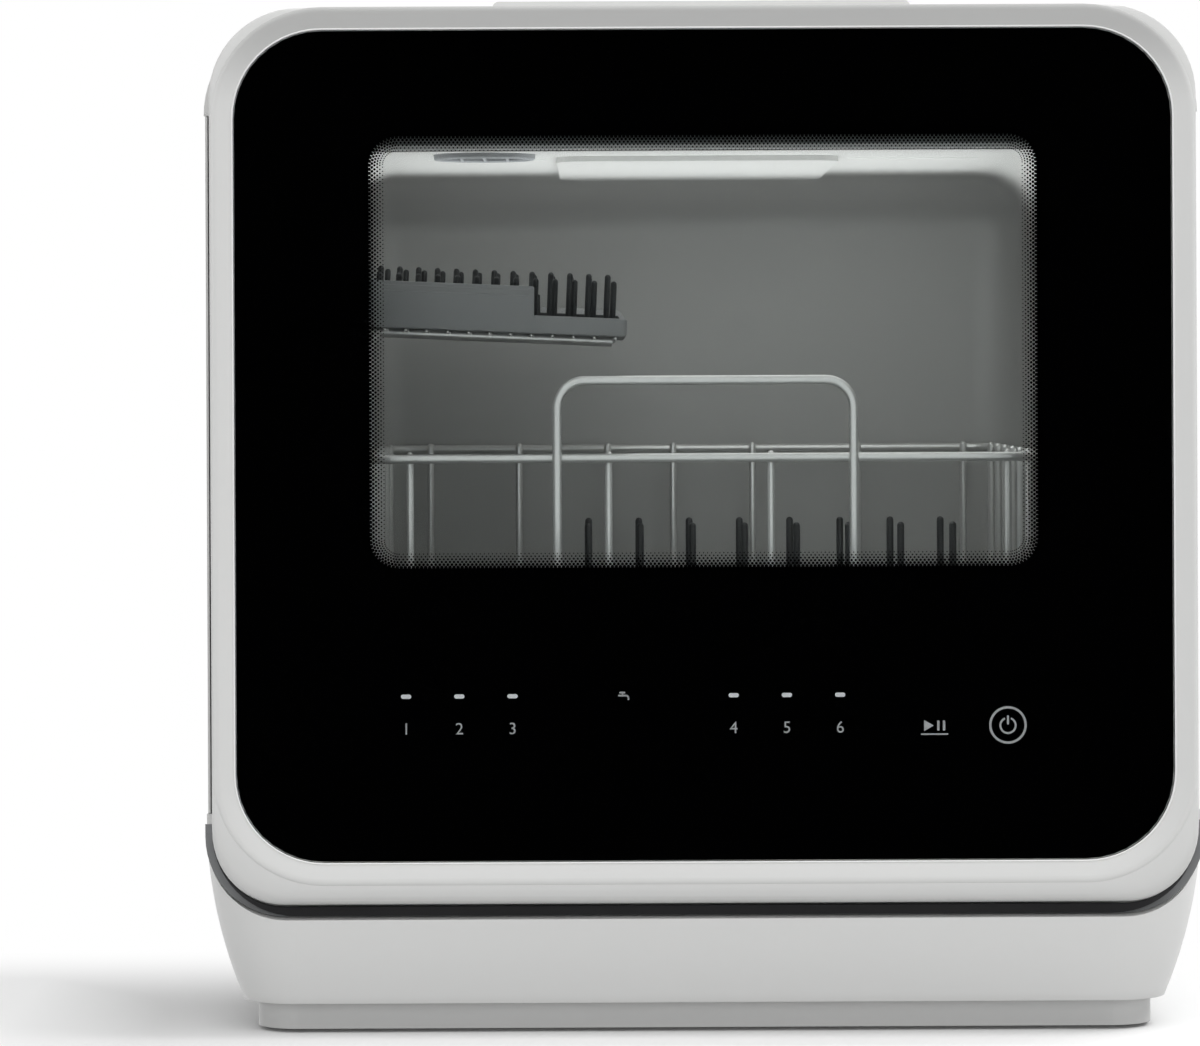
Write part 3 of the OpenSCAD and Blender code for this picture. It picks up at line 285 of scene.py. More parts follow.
ahead = wash_out(pt, axes.outputs["Y"], -0.235, -0.3, 0.6)
painted_glow = calculate(pt, "MAXIMUM", calculate(pt, "MAXIMUM", behind, left), ahead)
painted_glow = calculate(pt, "MULTIPLY", painted_glow, by_camera)
glow = add_node(pt, "ShaderNodeEmission", Strength=1.0)
mix_shaders(pt, painted_glow, paper_shader, glow, pt.nodes["Material Output"].inputs["Surface"])
print("paper:", FLOOR_WHITE, "seen,", FLOOR_GREY, "for light that bounces")

# %% [markdown]
# Black glass mirrors whatever stands in front of it. Photographers hang a black cloth behind the
# camera for that, and the same trick is used here: a card that only mirror-like rays can see. It
# is there for the first mirror images in the glass. A ray that has already bounced about inside
# the tub finds it transparent, so the steel inside still mirrors the white studio.

# %% Black card
CARD_AT, CARD_SIZE = (0, -3.4, 0.25), 1.5
card_place = Matrix.Translation(CARD_AT) @ Matrix.Rotation(math.radians(90), 4, "X")
cloth = simple_material("cloth", (0, 0, 0), 1.0)
card = stage_sheet("black_card", CARD_SIZE, card_place, cloth)
for kind in ("camera", "diffuse", "volume_scatter", "shadow"):
    setattr(card, "visible_" + kind, False)
FIRST_BOUNCES = 8.5
ct = cloth.node_tree
bounces = ct.nodes.new("ShaderNodeLightPath").outputs["Ray Depth"]
late = calculate(ct, "GREATER_THAN", bounces, FIRST_BOUNCES)
gap = ct.nodes.new("ShaderNodeBsdfTransparent")
mix_shaders(ct, late, ct.nodes["Principled BSDF"], gap,
            ct.nodes["Material Output"].inputs["Surface"])
print("stage:", floor.name, card.name)

# %% [markdown]
# ## Finishes
#
# Each finish is a Principled material whose roughness and bump come from small patterns. The
# patterns are node groups, built once: the faint orange-peel skin of moulded plastic, the fine
# lines of rolled steel, a slow cloudiness that keeps a large surface from looking like a single
# flat colour, and a painted shade that changes the colour with the height. They all read Object
# coordinates, so they stay where they are on a piece.

# %% Pattern groups
def start_group(name, inputs, outputs):
    """An empty shader group with float inputs and named outputs."""
    group = bpy.data.node_groups.new(name, "ShaderNodeTree")
    for label, value in inputs.items():
        s = group.interface.new_socket(label, in_out="INPUT", socket_type="NodeSocketFloat")
        s.default_value = value
    for label, kind in outputs.items():
        group.interface.new_socket(label, in_out="OUTPUT", socket_type="NodeSocket" + kind)
    first = group.nodes.new("NodeGroupInput")
    last = group.nodes.new("NodeGroupOutput")
    place = group.nodes.new("ShaderNodeTexCoord").outputs["Object"]
    return group, first, last, place


def noise(group, place, scale, detail, rough=0.5):
    """A noise texture; its scale is a number or a socket."""
    n = add_node(group, "ShaderNodeTexNoise", Detail=detail, Roughness=rough)
    group.links.new(place, n.inputs["Vector"])
    feed(group, scale, n.inputs["Scale"])
    return n.outputs["Fac"]


def spread(group, value, middle, width):
    """Maps a 0 to 1 pattern to middle plus or minus half the width, both numbers or sockets."""
    return calculate(group, "MULTIPLY_ADD", calculate(group, "SUBTRACT", value, 0.5), width,
                     middle)


moulded, first, last, place = start_group(
    "moulded_skin", {"Grain": 900.0, "Roughness": 0.35, "Spread": 0.08},
    {"Height": "Float", "Roughness": "Float"})
grain = noise(moulded, place, first.outputs["Grain"], detail=3.0)
moulded.links.new(grain, last.inputs["Height"])
patches = noise(moulded, place, scale=14.0, detail=3.0)
moulded.links.new(spread(moulded, patches, first.outputs["Roughness"], first.outputs["Spread"]),
                  last.inputs["Roughness"])

rolled, first, last, place = start_group(
    "rolled_steel", {"Lines": 60.0, "Roughness": 0.35, "Spread": 0.12},
    {"Height": "Float", "Roughness": "Float"})
stretch = rolled.nodes.new("ShaderNodeMapping")
stretch.inputs["Scale"].default_value = (1.0, 1.0, 40.0)
rolled.links.new(place, stretch.inputs["Vector"])
lines = noise(rolled, stretch.outputs[0], first.outputs["Lines"], detail=4.0, rough=0.6)
rolled.links.new(lines, last.inputs["Height"])
rolled.links.new(spread(rolled, lines, first.outputs["Roughness"], first.outputs["Spread"]),
                 last.inputs["Roughness"])

clouds, first, last, place = start_group(
    "clouds", {"Size": 6.0, "Amount": 0.04, "Red": 0.8, "Green": 0.8, "Blue": 0.8},
    {"Color": "Color"})
cloud = noise(clouds, place, first.outputs["Size"], detail=4.0, rough=0.6)
level = spread(clouds, cloud, 1.0, first.outputs["Amount"])
tint = clouds.nodes.new("ShaderNodeCombineColor")
for channel in ("Red", "Green", "Blue"):
    feed(clouds, calculate(clouds, "MULTIPLY", first.outputs[channel], level),
         tint.inputs[channel])
clouds.links.new(tint.outputs[0], last.inputs["Color"])

# Painted shade: a share of the colour that changes with the height.
painted_shading, first, last, place = start_group(
    "painted_height_shade", {"Low": 0.0, "High": 0.02, "At Low": 0.7, "At High": 1.0},
    {"Factor": "Float"})
height = painted_shading.nodes.new("ShaderNodeSeparateXYZ")
ramp = painted_shading.nodes.new("ShaderNodeMapRange")
ramp.interpolation_type = "SMOOTHSTEP"
painted_shading.links.new(place, height.inputs[0])
painted_shading.links.new(height.outputs["Z"], ramp.inputs["Value"])
for label, socket in (("Low", "From Min"), ("High", "From Max"), ("At Low", "To Min"),
                      ("At High", "To Max")):
    painted_shading.links.new(first.outputs[label], ramp.inputs[socket])
painted_shading.links.new(ramp.outputs["Result"], last.inputs["Factor"])
print("groups:", [g.name for g in bpy.data.node_groups])


# %% [markdown]
# A finish puts the groups in front of the Principled shader. The construction model has razor
# sharp edges, as all solid models do. Real mouldings have edges a few tenths of a millimetre
# round, and it is their thin highlight that the eye reads as a real object. The Bevel node
# gives that highlight without changing the mesh. Two finishes also get painted shade: the white
# of the plinth grows darker towards the floor, and the white at the top of the bezel grows darker
# towards its upper edge, where shade falls on them.

# %% Finish builder
def use_group(tree, group, **values):
    """Places a group in a material with its own values."""
    n = tree.nodes.new("ShaderNodeGroup")
    n.node_tree = group
    return set_inputs(n, **values)


def finish(name, colour, rough, metallic=0.0, skin=moulded, grain=900.0, relief=0.02,
           spread=0.08, edge=0.0004, cloud=0.04, painted_shade=None):
    """A finish: colour clouds, a skin pattern for roughness and bump, and softened edges.

    A painted shade is two heights, and then the share of the colour at each of them.
    """
    mat = bpy.data.materials.new(name)
    mat.use_nodes = True
    tree = mat.node_tree
    shader = tree.nodes["Principled BSDF"]
    shader.inputs["Metallic"].default_value = metallic
    red, green, blue = colour
    tint = use_group(tree, clouds, Amount=cloud, Red=red, Green=green, Blue=blue)
    tree.links.new(tint.outputs["Color"], shader.inputs["Base Color"])
    # Painted shade scales the colour with the height.
    if painted_shade:
        factor = use_group(tree, painted_shading, **dict(zip(("Low", "High", "At Low", "At High"), painted_shade)))
        darker = tree.nodes.new("ShaderNodeVectorMath")
        darker.operation = "SCALE"
        tree.links.new(tint.outputs["Color"], darker.inputs[0])
        tree.links.new(factor.outputs["Factor"], darker.inputs["Scale"])
        tree.links.new(darker.outputs[0], shader.inputs["Base Color"])
    key = "Grain" if skin is moulded else "Lines"
    surface = use_group(tree, skin, **{key: grain, "Roughness": rough, "Spread": spread})
    tree.links.new(surface.outputs["Roughness"], shader.inputs["Roughness"])
    bump = add_node(tree, "ShaderNodeBump", Strength=0.5, Distance=relief * MM)
    tree.links.new(surface.outputs["Height"], bump.inputs["Height"])
    if edge:
        soft = tree.nodes.new("ShaderNodeBevel")
        soft.samples = 4
        soft.inputs["Radius"].default_value = edge
        tree.links.new(soft.outputs[0], bump.inputs["Normal"])
    tree.links.new(bump.outputs[0], shader.inputs["Normal"])
    return mat


white_plastic = finish("white_plastic", (0.67, 0.672, 0.665), 0.32, cloud=0.015)
white_steel = finish("white_steel", (0.64, 0.642, 0.635), 0.3, grain=500, relief=0.006, spread=0.03,
                     cloud=0.01)
grey_plastic = finish("grey_plastic", (0.25, 0.26, 0.27), 0.45, cloud=0.06)
tray_plastic = finish("tray_plastic", (0.36, 0.366, 0.37), 0.4, cloud=0.05)
black_plastic = finish("black_plastic", (0.014, 0.014, 0.016), 0.4, cloud=0.2)
frosted = finish("frosted_plastic", (0.8, 0.82, 0.84), 0.5, edge=0)
# The base's white holds painted shade, darker towards the floor, and is a touch lighter than the
# other white plastic as painted light.
base_white_painted_shade = finish("base_white_painted_shade", (0.72, 0.722, 0.715), 0.32, cloud=0.015,
                    painted_shade=(mm(3), mm(18), 0.65, 1.0))
# The bezel's white holds painted shade, darker towards its top.
bezel_white_painted_shade = finish("bezel_white_painted_shade", (0.67, 0.672, 0.665), 0.32, cloud=0.015,
                     painted_shade=(mm(390), mm(425), 1.0, 0.74))
# Nearly black, for the inside of the tray and its pins: painted shade, not the tray's own colour.
tray_inside_painted_shade = finish("tray_inside_painted_shade", (0.022, 0.024, 0.026), 0.5, cloud=0.1)
tub_steel = finish("tub_steel", (0.57, 0.572, 0.562), 0.48, metallic=0.4, skin=rolled, grain=40,
                   relief=0.006, spread=0.1, cloud=0.05)
sheet_steel = finish("sheet_steel", (0.5, 0.505, 0.51), 0.34, metallic=1.0, skin=rolled, grain=90,
                     relief=0.01, spread=0.12, cloud=0.06)
wire_steel = finish("wire_steel", (0.86, 0.86, 0.85), 0.3, metallic=0.7, grain=1500,
                    relief=0.004, edge=0, cloud=0.1)
nylon = finish("nylon_dip", (0.07, 0.072, 0.075), 0.4, grain=1200, relief=0.01, edge=0, cloud=0.1)
rubber = finish("rubber", (0.018, 0.018, 0.02), 0.7, grain=2500, relief=0.03, cloud=0.2)
seal_rubber = finish("seal_rubber", (0.2, 0.205, 0.21), 0.6, grain=2500, relief=0.03)
# Lighter than the white plastic, for the lip round the glass: a painted highlight.
rim_painted_highlight = finish("rim_painted_highlight", (0.86, 0.865, 0.86), 0.3, cloud=0.01, edge=0)
board_green = finish("board_green", (0.012, 0.09, 0.04), 0.35, cloud=0.15)
print("finishes:", len(bpy.data.materials))

# %% [markdown]
# ## Glass
#
# Real glass bends the light of a lamp, which a path tracer finds only by luck, so everything
# behind a pane would stay dark. For rays from lamps the pane is therefore plainly transparent,
# and for every other ray it is clear glass. Its Metallic and Transmission Weight stay plain.

# %% Glass finish
def glass(name, tint, rough=0.0):
    """Clear glass that lets lamps through."""
    mat = bpy.data.materials.new(name)
    mat.use_nodes = True
    tree = mat.node_tree
    shader = tree.nodes["Principled BSDF"]
    set_inputs(shader, Base_Color=(*tint, 1), Roughness=rough, IOR=1.5, Metallic=0.0,
               Transmission_Weight=1.0)
    clear = add_node(tree, "ShaderNodeBsdfTransparent", Color=(*tint, 1))
    from_lamp = tree.nodes.new("ShaderNodeLightPath").outputs["Is Shadow Ray"]
    mix_shaders(tree, from_lamp, shader, clear, tree.nodes["Material Output"].inputs["Surface"])
    return mat


clear_glass = glass("clear_glass", (0.97, 0.98, 0.98))
inner_pane = glass("inner_pane", (0.95, 0.97, 0.965))
tank_plastic = glass("tank_plastic", (0.78, 0.83, 0.86), 0.35)
print("glass:", clear_glass.name, inner_pane.name, tank_plastic.name)

# %% [markdown]
# The black front is not black glass but clear glass with black ink on its back. The ink is a
# finish of its own: nearly black, even, and without any shine, because it is bonded to the glass
# and has no surface towards the air. The pale marks are a second ink, printed with the same
# screen.

# %% Inks
black_ink = finish("black_ink", (0.0008, 0.0008, 0.0009), 0.5, grain=3000, relief=0.001, edge=0,
                   cloud=0.1)
pale_ink = finish("pale_ink", (0.5, 0.51, 0.52), 0.5, grain=3000, relief=0.001, edge=0,
                  cloud=0.03)
for ink in (black_ink, pale_ink):
    set_inputs(ink.node_tree.nodes["Principled BSDF"], Specular_IOR_Level=0.0)
print("inks:", black_ink.name, pale_ink.name)

# %% [markdown]
# ## Dressing the construction model
#
# A node whose shape is already right only needs its finish. The table below reads like a parts
# list: one finish, then the nodes that are made of it.

# %% Finishes for the nodes
wear = {
    base_white_painted_shade: ["base_housing"],
    white_plastic: ["front_frame", "top_cover", "door_shell", "door_bezel",
                    "grip_lip", "fill_funnel", "fill_lid", "inlet_valve", "float_cap",
                    "wash_impeller", "drain_impeller"],
    white_steel: ["side_panel_left", "side_panel_right"],
    grey_plastic: ["back_panel", "vent_grille", "rack_rails", "sump", "filter_cup",
                   "spray_riser", "wash_pump", "drain_pump", "fan_housing", "dispenser",
                   "dispenser_lid", "rinse_cap", "rack_wheels_front", "rack_wheels_rear",
                   "spray_arm"],
    tray_plastic: ["cutlery_tray"],
    black_plastic: ["drain_spigot", "cord_gland", "latch_housing", "fan_rotor"],
    tub_steel: ["tub"],
    sheet_steel: ["cabinet_screws", "filter_plate", "heater", "hinge_brackets", "door_liner",
                  "door_striker", "hinge_plates", "hinge_pins", "door_screws", "latch_bolt"],
    wire_steel: ["rack_frame", "rack_basket", "plate_tines"],
    seal_rubber: ["door_gasket"],
    rubber: ["feet", "wash_hose", "drain_hose", "window_seal"],
    board_green: ["control_board", "touch_board"],
    frosted: ["light_guides"],
    clear_glass: ["door_glass"],
    inner_pane: ["inner_glass"],
    tank_plastic: ["water_tank"],
    black_ink: ["window_mask"],
}
for material, names in wear.items():
    for name in names:
        mesh = node[name].data
        mesh.materials.clear()
        mesh.materials.append(material)
bare = set(node) - {name for names in wear.values() for name in names}
print("dressed:", sum(map(len, wear.values())), "bare:", bare)

# %% [markdown]
# ## Flat shapes with round corners
#
# The window, the ink and the marks are all flat shapes with round corners. A quad whose four
# corners are bevelled becomes such a shape, and two of them bridged make a frame.

# %% Flat shape helpers
UPRIGHT = Matrix.Rotation(math.radians(90), 4, "X")


def round_face(bm, width, height, radius, centre, segments=10):
    """A rounded rectangle in the XZ plane that faces the front."""
    place = Matrix.Translation(centre) @ UPRIGHT @ Matrix.Diagonal((width, height, 1, 1))
    made = bmesh.ops.create_grid(bm, x_segments=1, y_segments=1, size=0.5, matrix=place)
    bmesh.ops.bevel(bm, geom=made["verts"], offset=radius, segments=segments, profile=0.5,
                    affect="VERTICES", material=-1)


def frame_sheet(outer, inner):
    """A flat frame between two rounded rectangles, each (width, height, radius, centre)."""
    bm = bmesh.new()
    for shape in (outer, inner):
        round_face(bm, *shape)
    bmesh.ops.delete(bm, geom=list(bm.faces), context="FACES_ONLY")
    bmesh.ops.bridge_loops(bm, edges=list(bm.edges))
    bmesh.ops.recalc_face_normals(bm, faces=list(bm.faces))
    return bm


# %% [markdown]
# ## The black ink
#
# The ink covers the back of the glass except for the window. It is a real layer, a fifth of a
# millimetre thick, and it starts a hair's breadth behind the glass so that the two surfaces
# don't fight for the same place.

# %% Black ink layer
INK_Y = glass_back + mm(0.05)
INK_INSET, INK_R, INK_THICK = mm(0.2), mm(36.8), mm(0.2)
ink_mid = Vector((0, INK_Y, (glass_low.z + glass_high.z) / 2))
ink_w = glass_high.x - glass_low.x - 2 * INK_INSET
ink_h = glass_high.z - glass_low.z - 2 * INK_INSET
window_at = Vector((0, INK_Y, WINDOW_Z + WINDOW_H / 2))
bm = frame_sheet((ink_w, ink_h, INK_R, ink_mid), (WINDOW_W, WINDOW_H, WINDOW_R, window_at))
bmesh.ops.solidify(bm, geom=list(bm.faces), thickness=INK_THICK)
put_on(make_piece("ink_layer", bm, black_ink), "door", "black_print", "window_mask")

# %% [markdown]
# ## The dotted edge
#
# Screen printers never let black ink end at a window in a hard line. Rows of dots fade it out:
# they are fat and merge near the ink, and shrink towards the clear glass. The rows follow the
# window's outline, so the gaps between the dots fan out in its round corners. There are about
# three thousand dots, so each is one flat face with eight corners.

# %% Dots round the window
DOT_STEP, ROW_STEP, ROWS = mm(1.7), mm(1.12), 6
DOT_FAT, DOT_THIN, FIRST_ROW = mm(0.76), mm(0.28), mm(0.35)
SHRINK = 0.85  # below 1 the dots shrink fastest near the ink
BEFORE_INK = mm(0, 0.02, 0)
straight_x, straight_z = WINDOW_W - 2 * WINDOW_R, WINDOW_H - 2 * WINDOW_R
quarter = math.pi / 2 * WINDOW_R
around = 2 * (straight_x + straight_z) + 4 * quarter


def on_outline(s):
    """The point and the inward direction at a distance s along the window's outline."""
    corners = ((1, -1), (1, 1), (-1, 1), (-1, -1))
    for k, (cx, cz) in enumerate(corners):
        side = straight_z if k % 2 == 0 else straight_x
        turn = k * math.pi / 2
        corner = Vector((cx * straight_x / 2, 0, cz * straight_z / 2))
        out_way = Vector((math.cos(turn), 0, math.sin(turn)))
        along = Vector((-math.sin(turn), 0, math.cos(turn)))
        if s < side:
            return corner + out_way * WINDOW_R + along * s, -out_way
        s -= side
        if s < quarter:
            bent = turn + s / WINDOW_R
            ray = Vector((math.cos(bent), 0, math.sin(bent)))
            return corner + along * side + ray * WINDOW_R, -ray
        s -= quarter
    return on_outline(0)


bm = bmesh.new()
per_row = round(around / DOT_STEP)
for row in range(ROWS):
    fade = row / (ROWS - 1)
    radius = DOT_FAT + (DOT_THIN - DOT_FAT) * fade ** SHRINK
    for k in range(per_row):
        spot, inward = on_outline((k + 0.5 * (row % 2)) * around / per_row)
        at = window_at + spot + inward * (FIRST_ROW + row * ROW_STEP) - BEFORE_INK
        bmesh.ops.create_circle(bm, cap_ends=True, segments=8, radius=radius,
                                matrix=Matrix.Translation(at) @ UPRIGHT)
put_on(make_piece("ink_dots", bm, black_ink), "door", "black_print")
print("dots:", ROWS * per_row)

# %% [markdown]
# ## Marks of the touch controls
#
# Everything printed beside the lights is generic: plain numbers under the six lights, a tap, a
# start and pause sign with a line under it, and the usual power sign in a ring. Numbers come
# from a text object that is made a mesh, and the signs are built from discs and plates.

# %% Helpers for the marks
MARK_Y = glass_back + mm(0.02)
LIGHTS = (-125.2, -102.9, -80.6, 12.1, 34.4, 56.7)
LIGHT_Z, NUMBER_Z = 143.2, 129.4
FIGURE_SHARE = 0.7  # how much of the font's size a figure fills
marks = bmesh.new()


def add_plate(x, z, width, height, radius):
    """A flat mark with round ends: all sizes in millimetres."""
    bm = bmesh.new()
    round_face(bm, mm(width), mm(height), mm(radius), Vector((mm(x), MARK_Y, mm(z))), segments=4)
    piece = bpy.data.meshes.new("plate")
    bm.to_mesh(piece)
    bm.free()
    marks.from_mesh(piece)
    bpy.data.meshes.remove(piece)


def add_arc(x, z, radius, width, start, sweep, steps):
    """A flat ring or arc, its angles in degrees counted from the right."""
    at = Vector((mm(x), MARK_Y, mm(z)))
    inner = marks.verts.new(at + Vector((mm(radius - width / 2), 0, 0)))
    outer = marks.verts.new(at + Vector((mm(radius + width / 2), 0, 0)))
    edge = marks.edges.new((inner, outer))
    bmesh.ops.rotate(marks, verts=[inner, outer], cent=at,
                     matrix=Matrix.Rotation(-math.radians(start), 3, "Y"))
    bmesh.ops.spin(marks, geom=[inner, outer, edge], cent=at, axis=(0, -1, 0),
                   angle=math.radians(sweep), steps=steps, use_merge=sweep == 360)


def add_text(body, x, z, height):
    """A number whose figures are this high, centred on x and z."""
    curve = bpy.data.curves.new("figure", "FONT")
    curve.body, curve.align_x, curve.align_y = body, "CENTER", "CENTER"
    curve.size = mm(height) / FIGURE_SHARE
    curve.resolution_u = 4
    holder = bpy.data.objects.new("figure", curve)
    scene.collection.objects.link(holder)
    flat = bpy.data.meshes.new_from_object(holder)
    flat.transform(Matrix.Translation((mm(x), MARK_Y, mm(z))) @ UPRIGHT)
    marks.from_mesh(flat)
    bpy.data.objects.remove(holder)
    bpy.data.meshes.remove(flat)


print("height of the lights' row:", LIGHT_Z, "mm")

# %% Numbers and signs
for number, x in enumerate(LIGHTS, 1):
    add_text(str(number), x, NUMBER_Z, height=4.9)
# Power sign: a ring, an open ring and a bar.
POWER_X, POWER_Z = 127.0, 130.2
add_arc(POWER_X, POWER_Z, radius=7.4, width=0.95, start=0, sweep=360, steps=64)
add_arc(POWER_X, POWER_Z - 0.2, radius=3.2, width=0.8, start=113, sweep=314, steps=40)
add_plate(POWER_X, POWER_Z + 2.1, 0.85, 3.9, 0.4)
# Start and pause sign with a line under it.
START_X, START_Z = 95.8, 130.1
add_arc(START_X - 2.6, START_Z, radius=1.35, width=2.7, start=0, sweep=360, steps=3)
for step in (2.0, 4.4):
    add_plate(START_X + step, START_Z, 1.0, 4.2, 0.2)
add_plate(START_X + 0.4, START_Z - 3.6, 11.5, 0.6, 0.25)
# Tap: a knob, a pipe and the spout that turns down.
TAP_X, TAP_Z = -33.6, 143.0
add_plate(TAP_X - 1.0, TAP_Z + 1.5, 2.5, 0.7, 0.33)
add_plate(TAP_X - 0.9, TAP_Z + 0.9, 0.7, 1.0, 0.1)
add_plate(TAP_X - 1.0, TAP_Z + 0.25, 3.4, 0.7, 0.1)
add_arc(TAP_X + 0.55, TAP_Z - 0.75, radius=1.0, width=0.7, start=0, sweep=90, steps=8)
add_plate(TAP_X + 1.55, TAP_Z - 1.15, 0.7, 1.0, 0.1)
bmesh.ops.recalc_face_normals(marks, faces=list(marks.faces))
put_on(make_piece("control_marks", marks, pale_ink), "door", "light_plastic")

# %% [markdown]
# The lights are small frosted bars with round ends that pass through the ink and just touch the
# glass. Switched off, they look pale grey.

# %% Light bars
BAR_W, BAR_H, BAR_R, BAR_DEPTH = mm(4.3), mm(1.8), mm(0.85), mm(2.9)
bm = bmesh.new()
for x in LIGHTS:
    at = Vector((mm(x), glass_back + mm(0.03), mm(LIGHT_Z)))
    round_face(bm, BAR_W, BAR_H, BAR_R, at, segments=6)
bars = bmesh.ops.extrude_face_region(bm, geom=list(bm.faces))
bmesh.ops.translate(bm, verts=[v for v in bars["geom"] if isinstance(v, bmesh.types.BMVert)],
                    vec=(0, BAR_DEPTH, 0))
bmesh.ops.recalc_face_normals(bm, faces=list(bm.faces))
put_on(make_piece("light_bars", bm, frosted), "door", "light_plastic", "light_guides")

# %% [markdown]
# ## Welded wire
#
# The rack is welded from stainless wire. Blender sweeps a round section along a curve, which is
# just how a wire is drawn, so each wire starts as a curve and is made a mesh. A cut wire is
# tumbled until its ends are smooth: the points near each end get a smaller radius, and the end
# becomes a dome.

# %% Wire helper
def add_wire(bm, points, radius, resolution=3):
    """Sweeps a wire with domed ends through points given in metres, into a bmesh."""
    points = [Vector(p) for p in points]
    dome = [(1 - math.cos(a), math.sin(a)) for a in (0.3, 0.8, 1.2, math.pi / 2)]
    first_way = (points[1] - points[0]).normalized()
    last_way = (points[-2] - points[-1]).normalized()
    stops = [(points[0] + first_way * radius * away, size) for away, size in dome]
    stops += [(p, 1.0) for p in points[1:-1]]
    stops += [(points[-1] + last_way * radius * away, size) for away, size in reversed(dome)]
    curve = bpy.data.curves.new("wire", "CURVE")
    curve.dimensions, curve.use_fill_caps = "3D", True
    curve.bevel_depth, curve.bevel_resolution = radius, resolution
    spline = curve.splines.new("POLY")
    spline.points.add(len(stops) - 1)
    for stop, (at, size) in zip(spline.points, stops):
        stop.co, stop.radius = (*at, 1), size
    holder = bpy.data.objects.new("wire", curve)
    scene.collection.objects.link(holder)
    swept = bpy.data.meshes.new_from_object(holder)
    bm.from_mesh(swept)
    bpy.data.objects.remove(holder)
    bpy.data.meshes.remove(swept)


RAIL, THIN = mm(2), mm(1.65)
basket_low, basket_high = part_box("rack_basket")
print("rack basket", tuple(basket_low), tuple(basket_high))

# %% [markdown]
# ## The rack's basket
#
# Six cross wires lie on the lower rail and seven long wires lie on those. Upright wires stand
# on their ends and lean against the upper rail, and their domed tips end just above it.

# %% Basket wires
RACK_HALF, RACK_FRONT, RACK_BACK = mm(148), mm(-150), mm(112)
CROSS_Z, POST_TOP = basket_low.z + THIN, basket_high.z
LONG_Z = CROSS_Z + 2 * THIN
CROSS_Y = [mm(v) for v in (-119, -79, -39, 1, 41, 81)]
FRONT_X = [mm(v) for v in (-125.7, -39.8, 30.5, 132.9)]
MIDDLE_X = [mm(v) for v in (-82.8, -8, 81.7)]
INNER = RAIL + THIN
bm = bmesh.new()
for y in CROSS_Y:
    add_wire(bm, [(-RACK_HALF, y, CROSS_Z), (RACK_HALF, y, CROSS_Z)], THIN)
    for x in (INNER - RACK_HALF, RACK_HALF - INNER):
        add_wire(bm, [(x, y, CROSS_Z), (x, y, POST_TOP)], THIN)
for x in FRONT_X + MIDDLE_X:
    add_wire(bm, [(x, RACK_FRONT, LONG_Z), (x, RACK_BACK, LONG_Z)], THIN)
    add_wire(bm, [(x, RACK_BACK - INNER, LONG_Z), (x, RACK_BACK - INNER, POST_TOP)], THIN)
for x in FRONT_X:
    add_wire(bm, [(x, RACK_FRONT + INNER, LONG_Z), (x, RACK_FRONT + INNER, POST_TOP)], THIN)
put_on(make_piece("rack_wires", bm, wire_steel), "rack", "rack_wire", "rack_basket")

# %% [markdown]
# The plate tines stand in two rows on the cross wires. They are dipped in grey nylon, which
# keeps the plates from being scratched.

# %% Plate tines
tine_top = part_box("plate_tines")[1].z
TINES, TINE_X, TINE_PITCH = 8, mm(-49), mm(23.7)
bm = bmesh.new()
for y in (CROSS_Y[2], CROSS_Y[4]):
    for i in range(TINES):
        x = TINE_X + TINE_PITCH * i
        add_wire(bm, [(x, y, CROSS_Z), (x, y, tine_top)], THIN)
put_on(make_piece("tine_rows", bm, nylon), "rack", "rack_wire", "plate_tines")

# %% [markdown]
# ## The pressed lining of the tub
#
# A real tub is pressed from one sheet, so its back runs into the ceiling and the walls in a wide
# round that catches the light. The construction model has a sharp edge there. A box without its
# front and bottom, with the remaining edges bevelled wide, makes the round shape, and it lies a
# third of a millimetre inside the plain tub. A shallow panel and two beads stiffen the ceiling.

# %% Tub lining
CLEAR = mm(0.35)
TUB_HALF, TUB_TOP, TUB_BACK = mm(166) - CLEAR, mm(374) - CLEAR, mm(132) - CLEAR
TUB_FRONT, LINING_LOW, PRESS_R, LINING_THICK = mm(-171.5), mm(120), mm(27), mm(0.3)
PANEL_X, PANEL_Y, PANEL_SINK = (mm(-62.6), mm(62.6)), (mm(-155), mm(84.8)), mm(0.2)
BEADS_X, BEAD_Y, BEAD_Z, BEAD_R = ((-120, -65), (66, 125)), -97, 374, 1.25
bm = bmesh.new()
middle = Vector((0, (TUB_FRONT + TUB_BACK) / 2, (LINING_LOW + TUB_TOP) / 2))
spans = (2 * TUB_HALF, TUB_BACK - TUB_FRONT, TUB_TOP - LINING_LOW, 1)
bmesh.ops.create_cube(bm, size=1, matrix=Matrix.Translation(middle) @ Matrix.Diagonal(spans))
gone = [f for f in bm.faces if f.normal.y < -0.9 or f.normal.z < -0.9]
bmesh.ops.delete(bm, geom=gone, context="FACES")
folds = [e for e in bm.edges if len(e.link_faces) == 2]
bmesh.ops.bevel(bm, geom=folds, offset=PRESS_R, segments=10, profile=0.5, affect="EDGES",
                material=-1)
bmesh.ops.solidify(bm, geom=list(bm.faces), thickness=LINING_THICK)


